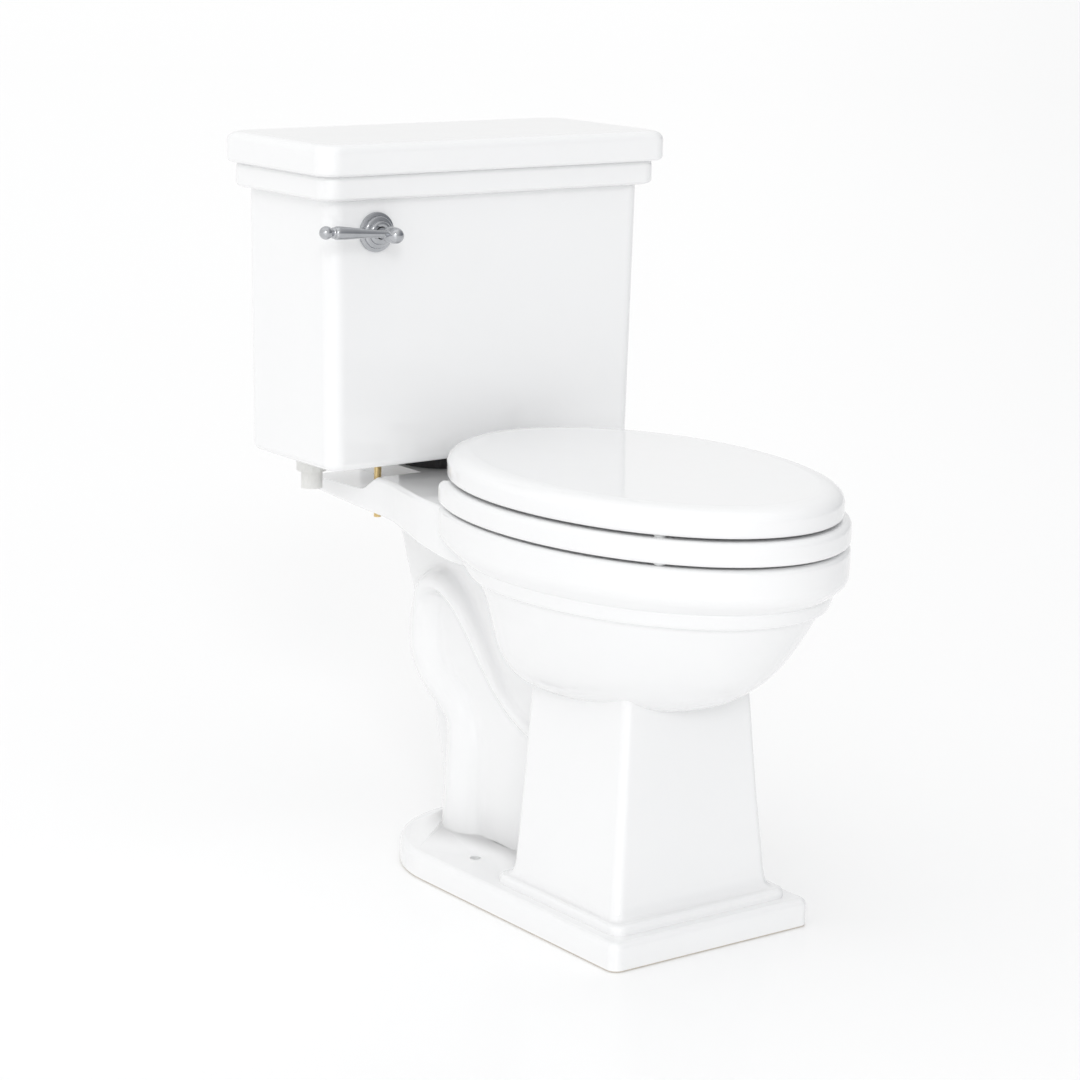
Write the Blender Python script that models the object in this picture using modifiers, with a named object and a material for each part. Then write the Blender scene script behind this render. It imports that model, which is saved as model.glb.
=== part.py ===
"""Close coupled toilet: bowl, tank, seat and the working parts inside the tank.

Metres, +Z up, front of the bowl towards -Y. The origin is on the floor, under the middle of the
whole toilet. Each named object is one physical piece; moving pieces have their origin on their joint.
"""

import math

import bmesh
import bpy
from mathutils import Matrix, Vector

GAP = 0.0003  # clearance between pieces that touch

# --- bowl -----------------------------------------------------------------------------------------
RIM_Z = 0.4150  # top of the rim and of the deck behind it
RIM_HALF = 0.1720  # half width of the rim
RIM_FRONT = 0.2615  # from the oval's widest line forward to the front of the rim
OVAL_Y = -0.0900  # widest line of the rim, the ring and the lid
OVAL_POWER = 2.06  # a little squarer than an ellipse
OVAL_POINTS = 40

BASE_HALF = 0.1270
BASE_FRONT = -0.2358
BASE_TOP = 0.0290
BASE_ROUND_Y = 0.0990  # centre of the round back end of the foot
FLOOR_BOLT_XY = (0.0860, 0.0560)
FLOOR_BOLT_RADIUS = 0.0060

DECK_BACK = 0.3300
DECK_LEDGE_Z = 0.3980  # top of the thin ledge that the tank bolts go through
DECK_LEDGE_Y = 0.2250
DECK_BOSS_HALF = 0.0560

# --- tank -----------------------------------------------------------------------------------------
TANK_BOTTOM = 0.4345
TANK_TOP = 0.7167
TANK_WALL = 0.0100
TANK_FLOOR = 0.0120
TANK_HALF_TOP = 0.2011
TANK_HALF_BOTTOM = 0.1965
TANK_FRONT_TOP = 0.1663
TANK_FRONT_BOTTOM = 0.1677
TANK_BACK = 0.3333
LID_BOTTOM = TANK_TOP + GAP
LID_STEP = 0.7426  # where the lid's lower tier meets its slab
LID_TOP = 0.7751
LID_TIER_HALF = 0.2141
LID_SLAB_HALF = 0.2222
LID_TIER_Y = (0.1525, 0.3434)
LID_SLAB_Y = (0.1434, 0.3498)

# --- seat -----------------------------------------------------------------------------------------
RING_Z = (0.4182, 0.4402)
RING_HALF = 0.1727
RING_FRONT = 0.2622
RING_REAR = 0.2500
RING_REAR_CUT = 0.0560
LID_Z = (0.4434, 0.4706)
LID_HALF = 0.1660
LID_FRONT = 0.2535
LID_REAR = 0.2320
LID_REAR_CUT = 0.1260
HINGE_Y = 0.0940
HINGE_Z = 0.4520
HINGE_X = 0.0700
BARREL_HALF = 0.0110
BARREL_RADIUS = 0.0085
PIN_RADIUS = 0.0030

# --- flush lever ----------------------------------------------------------------------------------
LEVER_X = -0.1450
LEVER_Z = 0.6830
LEVER_ARM_Y = 0.1360  # line of the arm in front of the tank
SHAFT_RADIUS = 0.0060

# --- works in the tank ----------------------------------------------------------------------------
VALVE_Y = 0.2500  # flush valve, on the middle line
TANK_BOLT_X = 0.0850
FILL_X = -0.1500
FILL_Y = 0.2800
OVERFLOW_X = 0.0520
FLAPPER_PIVOT = (0.0370, 0.4900)  # x and z of the flapper's pivot
CHAIN_X = -0.0210


# --- materials ------------------------------------------------------------------------------------
def make_material(name, colour, roughness, metallic=0.0):
    """A Principled material of one colour."""
    material = bpy.data.materials.new(name)
    material.use_nodes = True
    shader = material.node_tree.nodes["Principled BSDF"]
    shader.inputs["Base Color"].default_value = (*colour, 1.0)
    shader.inputs["Roughness"].default_value = roughness
    shader.inputs["Metallic"].default_value = metallic
    return material


def make_palette():
    """Every material of the toilet, by a short name."""
    return {
        "china": make_material("china", (0.90, 0.91, 0.91), 0.08),
        "seat": make_material("seat_white", (0.91, 0.92, 0.92), 0.15),
        "chrome": make_material("chrome", (0.80, 0.81, 0.82), 0.06, 1.0),
        "brass": make_material("brass", (0.72, 0.55, 0.25), 0.30, 1.0),
        "white_plastic": make_material("white_plastic", (0.86, 0.86, 0.84), 0.35),
        "black_plastic": make_material("black_plastic", (0.03, 0.03, 0.03), 0.45),
        "red_rubber": make_material("red_rubber", (0.45, 0.05, 0.04), 0.60),
        "black_rubber": make_material("black_rubber", (0.02, 0.02, 0.02), 0.75),
        "buffer": make_material("buffer", (0.82, 0.83, 0.83), 0.50),
    }


# --- shape helpers --------------------------------------------------------------------------------
class Workshop:
    """The two collections, the materials, and the ways of making a piece."""

    def __init__(self):
        self.pieces = self.new_collection("close_coupled_toilet")
        self.cutters = self.new_collection("cutters")
        self.palette = make_palette()

    @staticmethod
    def new_collection(name):
        collection = bpy.data.collections.new(name)
        bpy.context.scene.collection.children.link(collection)
        return collection

    def place(self, name, data, material=None):
        """An object in the pieces, or with no material a hidden one in the cutters."""
        obj = bpy.data.objects.new(name, data)
        if material is None:
            self.cutters.objects.link(obj)
            obj.hide_render = True
            obj.display_type = "WIRE"
        else:
            self.pieces.objects.link(obj)
            data.materials.append(self.palette[material])
        return obj

    def from_bmesh(self, name, bm, material=None):
        """Close a bmesh into an object, with its faces pointing out."""
        bmesh.ops.recalc_face_normals(bm, faces=bm.faces)
        mesh = bpy.data.meshes.new(name)
        bm.to_mesh(mesh)
        bm.free()
        mesh.shade_smooth()
        mesh.set_sharp_from_angle(angle=math.radians(35))
        return self.place(name, mesh, material)

    def box(self, name, low, high, material=None, bevel=0.0):
        """A block between two corners, with its edges bevelled."""
        bm = bmesh.new()
        bmesh.ops.create_cube(bm, size=1.0)
        size = Vector(high) - Vector(low)
        middle = (Vector(high) + Vector(low)) / 2
        bmesh.ops.scale(bm, vec=size, verts=bm.verts)
        bmesh.ops.translate(bm, vec=middle, verts=bm.verts)
        if bevel:
            bmesh.ops.bevel(
                bm, geom=bm.edges[:], offset=bevel, segments=2, profile=0.5, affect="EDGES"
            )
        return self.from_bmesh(name, bm, material)

    def rod(self, name, start, end, radius, material=None, sides=16):
        """A cylinder between two points."""
        start, end = Vector(start), Vector(end)
        bm = bmesh.new()
        bmesh.ops.create_cone(
            bm,
            cap_ends=True,
            segments=sides,
            radius1=radius,
            radius2=radius,
            depth=(end - start).length,
        )
        turn = (end - start).to_track_quat("Z", "Y").to_matrix().to_4x4()
        bmesh.ops.transform(
            bm, matrix=Matrix.Translation((start + end) / 2) @ turn, verts=bm.verts
        )
        return self.from_bmesh(name, bm, material)

    def turned(self, name, profile, at, material=None, along="Z", steps=24):
        """A Screw of a profile of (radius, height) points, run down the outer side.

        The profile starts and ends on the axis, or ends where it starts for a ring.
        """
        mesh = bpy.data.meshes.new(name)
        points = [(radius, 0.0, height) for radius, height in profile]
        ring = points[0] == points[-1]
        if ring:
            points = points[:-1]
        count = len(points)
        edges = [(i, (i + 1) % count) for i in range(count if ring else count - 1)]
        mesh.from_pydata(points, edges, [])
        obj = self.place(name, mesh, material)
        obj.location = at
        if along == "Y":
            obj.rotation_euler = (math.radians(90), 0.0, 0.0)
        elif along == "X":
            obj.rotation_euler = (0.0, math.radians(90), 0.0)
        screw = obj.modifiers.new("turn", "SCREW")
        screw.steps = steps
        screw.render_steps = steps
        screw.use_merge_vertices = True
        screw.merge_threshold = 0.0001
        screw.use_normal_calculate = False
        return obj

    def ring(self, name, at, inner, outer, depth, material=None, along="Z", steps=24):
        """A plain washer: its lower face is at the given place, and depth is its thickness.

        The bore is drawn out to its facets' corners, so a shaft of the inner radius fits it.
        """
        bore = inner / math.cos(math.pi / steps)
        profile = [(outer, depth), (outer, 0.0), (bore, 0.0), (bore, depth), (outer, depth)]
        return self.turned(name, profile, at, material, along, steps)

    def nut(self, name, at, inner, outer, depth, material, along="Z", sides=6):
        """A nut of flat sides with a round bore, standing up from the given place."""
        start = Vector(at)
        way = Vector((0.0, 0.0, 1.0)) if along == "Z" else Vector((0.0, 1.0, 0.0))
        nut = self.rod(name, start, start + way * depth, outer, material, sides=sides)
        bore = self.rod(name + "_bore", start - way * 0.01, start + way * (depth + 0.01),
                        inner / math.cos(math.pi / 20), sides=20)
        self.cut(nut, bore)
        return nut

    def tube(self, name, points, radii, material=None, resolution=2, stretch_x=1.0):
        """A round bar along points, made a mesh with its end caps welded."""
        curve = bpy.data.curves.new(name + "_path", "CURVE")
        curve.dimensions = "3D"
        curve.bevel_depth = 1.0
        curve.bevel_resolution = resolution
        curve.use_fill_caps = True
        spline = curve.splines.new("POLY")
        spline.points.add(len(points) - 1)
        for point, place, radius in zip(spline.points, points, radii):
            point.co = (*place, 1.0)
            point.radius = radius
        guide = bpy.data.objects.new(name + "_guide", curve)
        self.cutters.objects.link(guide)
        bpy.context.view_layer.update()
        graph = bpy.context.evaluated_depsgraph_get()
        mesh = bpy.data.meshes.new_from_object(guide.evaluated_get(graph))
        bpy.data.objects.remove(guide)
        bm = bmesh.new()
        bm.from_mesh(mesh)
        bmesh.ops.remove_doubles(bm, verts=bm.verts, dist=0.00001)
        bmesh.ops.scale(bm, vec=(stretch_x, 1.0, 1.0), verts=bm.verts)
        bpy.data.meshes.remove(mesh)
        return self.from_bmesh(name, bm, material)

    def loft(self, name, rings, material=None):
        """A closed solid through rings of points, each ring as long as the next."""
        bm = bmesh.new()
        rows = [[bm.verts.new(point) for point in ring] for ring in rings]
        for lower, upper in zip(rows, rows[1:]):
            for i in range(len(lower)):
                j = (i + 1) % len(lower)
                bm.faces.new((lower[i], lower[j], upper[j], upper[i]))
        bm.faces.new(rows[0])
        bm.faces.new(rows[-1])
        return self.from_bmesh(name, bm, material)

    def plate(self, name, outline, half_width, material=None):
        """A flat plate in the plane of the middle line, from (y, z) points."""
        rings = [[(side, y, z) for y, z in outline] for side in (-half_width, half_width)]
        return self.loft(name, rings, material)

    @staticmethod
    def combine(target, other, operation):
        """An exact Boolean on the target."""
        step = target.modifiers.new(operation.lower() + "_" + other.name, "BOOLEAN")
        step.operation = operation
        step.solver = "EXACT"
        step.object = other

    def join(self, target, *others):
        for other in others:
            self.combine(target, other, "UNION")

    def cut(self, target, *others):
        for other in others:
            self.combine(target, other, "DIFFERENCE")


def oval(z, half, front, rear, count=OVAL_POINTS, cut_y=None, middle=OVAL_Y):
    """One level of an egg-shaped solid: half width, and reach to the front and the rear."""
    points = []
    for i in range(count):
        angle = 2 * math.pi * (i + 0.5) / count
        across, along = math.cos(angle), math.sin(angle)
        x = half * math.copysign(abs(across) ** (2 / OVAL_POWER), across)
        reach = rear if along > 0 else front
        y = middle + reach * math.copysign(abs(along) ** (2 / OVAL_POWER), along)
        points.append((x, y if cut_y is None else min(y, cut_y), z))
    return points


def inset_oval(z, inset, half, front, rear, cut_y=None):
    """The same oval drawn in all round by one distance."""
    inner_cut = None if cut_y is None else cut_y - inset
    return oval(z, half - inset, front - inset, rear - inset, cut_y=inner_cut)


def rounded_rectangle(z, half, front, back, radius, steps=3):
    """One level of a block with round vertical corners."""
    points = []
    corners = (
        (half - radius, back - radius, 0),
        (-half + radius, back - radius, 90),
        (-half + radius, front + radius, 180),
        (half - radius, front + radius, 270),
    )
    for x, y, first in corners:
        for i in range(steps + 1):
            angle = math.radians(first + 90 * i / steps)
            points.append((x + radius * math.cos(angle), y + radius * math.sin(angle), z))
    return points


def foot_outline(z, inset, arc_steps=12):
    """The foot: square corners at the front, a half circle at the back."""
    half = BASE_HALF - inset
    front = BASE_FRONT + inset
    radius = 0.012
    points = []
    for i in range(arc_steps + 1):
        angle = math.pi * i / arc_steps
        points.append((half * math.cos(angle), BASE_ROUND_Y + half * math.sin(angle), z))
    for side, first in ((-1, 180), (1, 270)):
        for i in range(4):
            angle = math.radians(first + 90 * i / 3)
            x = side * (half - radius) + radius * math.cos(angle)
            points.append((x, front + radius + radius * math.sin(angle), z))
    return points


# --- bowl -----------------------------------------------------------------------------------------
def add_bowl(shop):
    """The bowl casting: rim, bowl, deck, column, foot and trapway, hollow where the water goes."""
    # each level: height, half width, reach to the front and the rear, and from which y
    levels = (
        (0.2260, 0.0343, 0.0598, 0.0500, -0.0488),
        (0.2340, 0.0720, 0.1256, 0.0600, -0.0488),
        (0.2440, 0.0935, 0.1630, 0.0700, -0.0488),
        (0.2582, 0.1106, 0.1907, 0.0803, -0.0511),
        (0.2795, 0.1262, 0.2100, 0.0967, -0.0595),
        (0.3033, 0.1375, 0.2186, 0.1167, -0.0715),
        (0.3262, 0.1458, 0.2226, 0.1380, -0.0828),
        (0.3440, 0.1514, 0.2265, 0.1583, -0.0891),
        (0.3500, 0.1540, 0.2302, 0.1711, -0.0899),
        (0.3540, 0.1591, 0.2391, 0.1862, -0.0900),
        (0.3640, 0.1617, 0.2436, 0.2012, -0.0900),
        (0.3700, 0.1626, 0.2451, 0.2112, -0.0900),
        (0.3760, 0.1677, 0.2540, 0.2312, -0.0900),
        (0.3850, 0.1720, 0.2615, 0.2462, -0.0900),
        (0.4110, 0.1720, 0.2615, 0.2492, -0.0900),
        (RIM_Z, 0.1677, 0.2540, 0.2452, -0.0900),
    )
    shell = shop.loft(
        "bowl",
        [oval(z, h, front, rear, middle=y) for z, h, front, rear, y in levels],
        "china",
    )
    shop.join(
        shell,
        make_deck(shop),
        make_column(shop),
        make_tier(shop),
        make_foot(shop),
        make_web(shop),
        *make_trap_legs(shop),
    )
    shop.cut(shell, *make_bowl_cutters(shop))
    return shell


def make_deck(shop):
    """The shelf behind the seat: full height in front, a thin ledge with a boss at the back."""
    # each section across: y, half width, underside
    sections = (
        (-0.0200, 0.1340, 0.3610),
        (0.0200, 0.1390, 0.3600),
        (0.0450, 0.1400, 0.3610),
        (0.0950, 0.1350, 0.3655),
        (0.1500, 0.1220, 0.3700),
        (0.1900, 0.1140, 0.3730),
        (0.2500, 0.1160, 0.3770),
        (DECK_BACK, 0.1200, 0.3840),
    )
    edge = 0.0040
    rings = []
    for y, half, under in sections:
        rings.append(
            [
                (-half + edge, y, RIM_Z),
                (-half, y, RIM_Z - edge),
                (-half, y, under + edge),
                (-half + 2 * edge, y, under),
                (half - 2 * edge, y, under),
                (half, y, under + edge),
                (half, y, RIM_Z - edge),
                (half - edge, y, RIM_Z),
            ]
        )
    deck = shop.loft("deck_body", rings)
    for side in (-1, 1):
        notch_x = sorted((side * DECK_BOSS_HALF, side * 0.140))
        notch = shop.box(
            f"deck_notch_{side}",
            (notch_x[0], DECK_LEDGE_Y, DECK_LEDGE_Z),
            (notch_x[1], DECK_BACK + 0.010, RIM_Z + 0.010),
            bevel=0.004,
        )
        shop.cut(deck, notch)
    return deck


def make_column(shop):
    """The square column under the bowl, wider at its foot."""
    # each level: height, half width, front, back
    levels = (
        (0.0300, 0.0990, -0.2015, -0.0255),
        (0.0420, 0.0980, -0.2008, -0.0258),
        (0.1500, 0.0885, -0.1935, -0.0268),
        (0.2600, 0.0800, -0.1863, -0.0279),
        (0.2850, 0.0760, -0.1830, -0.0120),
    )
    return shop.loft("column", [rounded_rectangle(z, h, f, b, 0.012) for z, h, f, b in levels])


def make_tier(shop):
    """The moulding between the foot and the column."""
    levels = (
        (0.0200, 0.1110, -0.2190, -0.0130),
        (0.0330, 0.1110, -0.2190, -0.0130),
        (0.0365, 0.1085, -0.2160, -0.0155),
        (0.0395, 0.1030, -0.2080, -0.0200),
    )
    return shop.loft("tier", [rounded_rectangle(z, h, f, b, 0.014) for z, h, f, b in levels])


def make_foot(shop):
    """The foot plate, with its top edge rounded."""
    levels = ((0.0, 0.0), (0.0215, 0.0), (0.0262, 0.0022), (BASE_TOP, 0.0075))
    return shop.loft("foot", [foot_outline(z, inset) for z, inset in levels])


def make_web(shop):
    """The thinner wall between the bowl, the trapway's two legs and the foot."""
    outline = (
        (-0.0900, 0.0200),
        (0.1680, 0.0200),
        (0.1650, 0.1500),
        (0.2000, 0.1730),
        (0.2400, 0.2120),
        (0.2420, 0.2520),
        (0.2680, 0.3130),
        (0.2900, 0.3700),
        (0.2900, 0.3850),
        (0.0400, 0.3850),
        (-0.0900, 0.3200),
    )
    return shop.plate("web", outline, 0.0380)


UP_LEG = ((-0.0650, 0.1500), (0.0100, 0.1620), (0.0520, 0.1780), (0.0900, 0.2150),
          (0.1300, 0.2580), (0.1700, 0.2900), (0.2130, 0.2950))
DOWN_LEG = ((0.2130, 0.2950), (0.2240, 0.2500), (0.2180, 0.2080), (0.1850, 0.1760),
            (0.1500, 0.1450), (0.1490, 0.0900), (0.1510, 0.0200))
DRAIN = ((0.2130, 0.2950), (0.2220, 0.2500), (0.2120, 0.2080), (0.1650, 0.1600),
         (0.1150, 0.1000), (0.0750, 0.0500), (0.0650, 0.0200), (0.0650, -0.0200))
PASSAGE_RADIUS = 0.0220
SUMP_Y = -0.0850  # middle of the water's outlet, inside the column


def make_trap_legs(shop):
    """The two legs of the trapway that stand proud of the web."""
    up = shop.tube("up_leg", [(0.0, y, z) for y, z in UP_LEG], [0.0270] * 5 + [0.0250, 0.0210],
                   stretch_x=1.75)
    widths = (0.0300, 0.0400, 0.0430, 0.0420, 0.0430, 0.0450, 0.0460)
    down = shop.tube("down_leg", [(0.0, y, z) for y, z in DOWN_LEG], widths, stretch_x=1.22)
    return up, down


def make_bowl_cutters(shop):
    """Everything that is hollow in the bowl."""
    # each level: height, half width, front, rear, and the y they are measured from
    levels = (
        (RIM_Z + 0.0100, 0.1185, 0.2005, 0.1392, -0.0900),
        (0.3920, 0.1185, 0.2005, 0.1392, -0.0900),
        (0.3880, 0.1455, 0.2305, 0.1512, -0.0900),
        (0.3720, 0.1455, 0.2305, 0.1512, -0.0900),
        (0.3600, 0.1355, 0.2155, 0.1312, -0.0900),
        (0.3300, 0.1234, 0.2031, 0.1115, -0.0838),
        (0.3000, 0.1082, 0.1906, 0.0820, -0.0646),
        (0.2700, 0.0820, 0.1450, 0.0400, -0.0600),
        (0.2450, 0.0600, 0.0900, 0.0420, SUMP_Y),
        (0.2000, 0.0430, 0.0500, 0.0390, SUMP_Y),
        (0.1550, 0.0330, 0.0330, 0.0330, SUMP_Y),
        (0.1300, 0.0180, 0.0180, 0.0180, SUMP_Y),
    )
    basin = shop.loft(
        "basin", [oval(z, h, f, r, count=24, middle=y) for z, h, f, r, y in levels]
    )
    path = ((SUMP_Y, 0.1500),) + UP_LEG[:-1] + DRAIN
    passage = shop.tube(
        "passage", [(0.0, y, z) for y, z in path], [PASSAGE_RADIUS] * len(path), resolution=2
    )
    inlet = shop.rod("inlet", (0.0, VALVE_Y, 0.3880), (0.0, VALVE_Y, 0.4300), 0.0300, sides=24)
    channel = shop.box("channel", (-0.0200, 0.0600, 0.3900), (0.0200, VALVE_Y, 0.4030))
    hollow = shop.box("foot_hollow", (-0.0750, -0.1750, -0.0100), (0.0750, -0.0450, 0.1050),
                      bevel=0.006)
    cutters = [basin, passage, inlet, channel, hollow]
    for side in (-1, 1):
        x, y = side * FLOOR_BOLT_XY[0], FLOOR_BOLT_XY[1]
        cutters.append(
            shop.rod(f"floor_hole_{side}", (x, y, -0.010), (x, y, 0.040), FLOOR_BOLT_RADIUS,
                     sides=12)
        )
        x = side * TANK_BOLT_X
        cutters.append(
            shop.rod(f"ledge_hole_{side}", (x, VALVE_Y, 0.360), (x, VALVE_Y, 0.410), 0.0050,
                     sides=12)
        )
        x = side * HINGE_X
        cutters.append(
            shop.rod(f"seat_hole_{side}", (x, HINGE_Y, 0.3800), (x, HINGE_Y, 0.4200), 0.0080,
                     sides=16)
        )
    return cutters


# --- tank -----------------------------------------------------------------------------------------
def add_tank(shop):
    """The open china tank, a little narrower at its foot."""
    half, front, back = TANK_HALF_BOTTOM, TANK_FRONT_BOTTOM, TANK_BACK
    levels = (
        (TANK_BOTTOM, 0.0090),
        (TANK_BOTTOM + 0.0026, 0.0026),
        (TANK_BOTTOM + 0.0090, 0.0),
    )
    rings = [
        rounded_rectangle(z, half - inset, front + inset, back - inset, 0.022 - inset)
        for z, inset in levels
    ]
    rings.append(rounded_rectangle(TANK_TOP, TANK_HALF_TOP, TANK_FRONT_TOP, TANK_BACK, 0.022))
    tank = shop.loft("tank", rings, "china")
    floor = TANK_BOTTOM + TANK_FLOOR
    inner = [
        rounded_rectangle(floor, half - TANK_WALL - 0.006, front + TANK_WALL + 0.006,
                          back - TANK_WALL - 0.006, 0.010),
        rounded_rectangle(floor + 0.006, half - TANK_WALL, front + TANK_WALL,
                          back - TANK_WALL, 0.013),
        rounded_rectangle(TANK_TOP + 0.010, TANK_HALF_TOP - TANK_WALL,
                          TANK_FRONT_TOP + TANK_WALL, TANK_BACK - TANK_WALL, 0.013),
    ]
    cutters = [shop.loft("tank_inside", inner)]
    low, high = TANK_BOTTOM - 0.010, floor + 0.010
    holes = (
        ("valve", 0.0, VALVE_Y, 0.0275),
        ("bolt_left", -TANK_BOLT_X, VALVE_Y, 0.0050),
        ("bolt_right", TANK_BOLT_X, VALVE_Y, 0.0050),
        ("fill", FILL_X, FILL_Y, 0.0120),
    )
    for name, x, y, radius in holes:
        cutters.append(shop.rod(f"tank_hole_{name}", (x, y, low), (x, y, high), radius, sides=20))
    cutters.append(
        shop.rod("lever_hole", (LEVER_X, 0.150, LEVER_Z), (LEVER_X, 0.190, LEVER_Z), 0.0090)
    )
    shop.cut(tank, *cutters)
    return tank


def add_tank_lid(shop):
    """The two-tier lid, hollow underneath, with lugs that keep it on the tank."""
    tier, slab = LID_TIER_Y, LID_SLAB_Y

    def level(z, half, ys, inset, radius):
        return rounded_rectangle(z, half - inset, ys[0] + inset, ys[1] - inset, radius)

    rings = [
        level(LID_BOTTOM, LID_TIER_HALF, tier, 0.0050, 0.020),
        level(LID_BOTTOM + 0.0035, LID_TIER_HALF, tier, 0.0010, 0.022),
        level(LID_STEP - 0.0060, LID_TIER_HALF, tier, 0.0, 0.023),
        level(LID_STEP, LID_TIER_HALF, tier, 0.0015, 0.022),
        level(LID_STEP + 0.0003, LID_SLAB_HALF, slab, 0.0040, 0.022),
        level(LID_STEP + 0.0045, LID_SLAB_HALF, slab, 0.0, 0.026),
        level(LID_TOP - 0.0090, LID_SLAB_HALF, slab, 0.0, 0.026),
        level(LID_TOP - 0.0026, LID_SLAB_HALF, slab, 0.0026, 0.0235),
        level(LID_TOP, LID_SLAB_HALF, slab, 0.0090, 0.018),
    ]
    lid = shop.loft("tank_lid", rings, "china")
    pocket = shop.box("lid_pocket", (-0.1840, 0.1830, 0.7000), (0.1840, 0.3170, 0.7600),
                      bevel=0.006)
    shop.cut(lid, pocket)
    for side in (-1, 1):
        x = sorted((side * 0.1790, side * 0.1880))
        lug = shop.box(f"lid_lug_{side}", (x[0], 0.2100, 0.7100), (x[1], 0.2900, 0.7250))
        shop.join(lid, lug)
    return lid


# --- seat -----------------------------------------------------------------------------------------
def add_seat_ring(shop):
    """The closed-front seat ring, with a hinge lug beside each post."""
    low, high = RING_Z
    levels = ((low, 0.0050), (low + 0.0030, 0.0010), (low + 0.0080, 0.0),
              (high - 0.0060, 0.0), (high - 0.0015, 0.0020), (high, 0.0060))
    rings = [
        inset_oval(z, inset, RING_HALF, RING_FRONT, RING_REAR, RING_REAR_CUT)
        for z, inset in levels
    ]
    ring = shop.loft("seat_ring", rings, "seat")
    opening = [
        oval(low - 0.010, 0.1120, 0.1710, 0.1230, count=32),
        oval(low + 0.004, 0.1070, 0.1660, 0.1180, count=32),
        oval(high - 0.006, 0.1070, 0.1660, 0.1180, count=32),
        oval(high + 0.010, 0.1180, 0.1770, 0.1290, count=32),
    ]
    shop.cut(ring, shop.loft("ring_opening", opening))
    for side in (-1, 1):
        x = sorted((side * 0.0470, side * 0.0575))
        arm = shop.box(f"ring_arm_{side}", (x[0], RING_REAR_CUT - 0.0140, low + 0.0060),
                       (x[1], HINGE_Y + 0.0075, high - 0.0010), bevel=0.002)
        lug = shop.box(f"ring_lug_{side}", (x[0], HINGE_Y - 0.0075, low + 0.008),
                       (x[1], HINGE_Y + 0.0075, HINGE_Z + 0.0075), bevel=0.003)
        shop.join(ring, arm, lug)
    for side in (-1, 1):
        hole = shop.rod(f"ring_pin_hole_{side}", (side * 0.0500, HINGE_Y, HINGE_Z),
                        (side * 0.0600, HINGE_Y, HINGE_Z), PIN_RADIUS + GAP, sides=12)
        shop.cut(ring, hole)
    return ring


def add_seat_lid(shop):
    """The seat lid: rounded edge, flat top, hollow underneath, notched round the hinge posts."""
    low, high = LID_Z
    levels = ((low, 0.0045), (low + 0.0025, 0.0010), (low + 0.0070, 0.0),
              (high - 0.0125, 0.0), (high - 0.0060, 0.0030), (high - 0.0020, 0.0090),
              (high, 0.0200))
    rings = [
        inset_oval(z, inset, LID_HALF, LID_FRONT, LID_REAR, LID_REAR_CUT) for z, inset in levels
    ]
    lid = shop.loft("seat_lid", rings, "seat")
    pocket = [
        oval(low - 0.010, 0.1360, 0.2240, 0.1480, count=32),
        oval(low + 0.008, 0.1360, 0.2240, 0.1480, count=32),
        oval(high - 0.009, 0.1260, 0.2140, 0.1380, count=32),
    ]
    shop.cut(lid, shop.loft("lid_hollow", pocket))
    for side in (-1, 1):
        x = sorted((side * 0.0440, side * 0.0830))
        notch = shop.box(f"lid_notch_{side}", (x[0], HINGE_Y - 0.0130, low - 0.010),
                         (x[1], LID_REAR_CUT + 0.010, high - 0.0045))
        hole = shop.rod(f"lid_pin_hole_{side}", (side * 0.0800, HINGE_Y, HINGE_Z),
                        (side * 0.0900, HINGE_Y, HINGE_Z), PIN_RADIUS + GAP, sides=12)
        shop.cut(lid, notch, hole)
    return lid


BUFFER_RADIUS = 0.0060
BUFFER_ANGLES = {"front": 226.0, "rear": 150.0}  # round the oval, for the left side


def add_buffers(shop):
    """Soft pads: under the lid at the front, under the ring at the front and the rear."""
    def pad(name, angle, half, front, z, side, rear=RING_REAR):
        turn = math.radians(angle)
        reach = rear if math.sin(turn) > 0 else front
        x = side * abs((half - 0.0110) * math.cos(turn))
        y = OVAL_Y + (reach - 0.0110) * math.sin(turn)
        shop.turned(name, [(0.0, z[1]), (BUFFER_RADIUS, z[1]), (BUFFER_RADIUS, z[0]), (0.0, z[0])],
                    (x, y, 0.0), "buffer", steps=12)

    for side, word in ((-1, "left"), (1, "right")):
        under_lid = (RING_Z[1] + GAP, LID_Z[0] - GAP)
        pad(f"lid_buffer_{word}", BUFFER_ANGLES["front"], LID_HALF, LID_FRONT, under_lid, side)
        under_ring = (RIM_Z + GAP, RING_Z[0] - GAP)
        for place, angle in BUFFER_ANGLES.items():
            pad(f"ring_buffer_{place}_{word}", angle, RIM_HALF, RIM_FRONT, under_ring, side)


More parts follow.
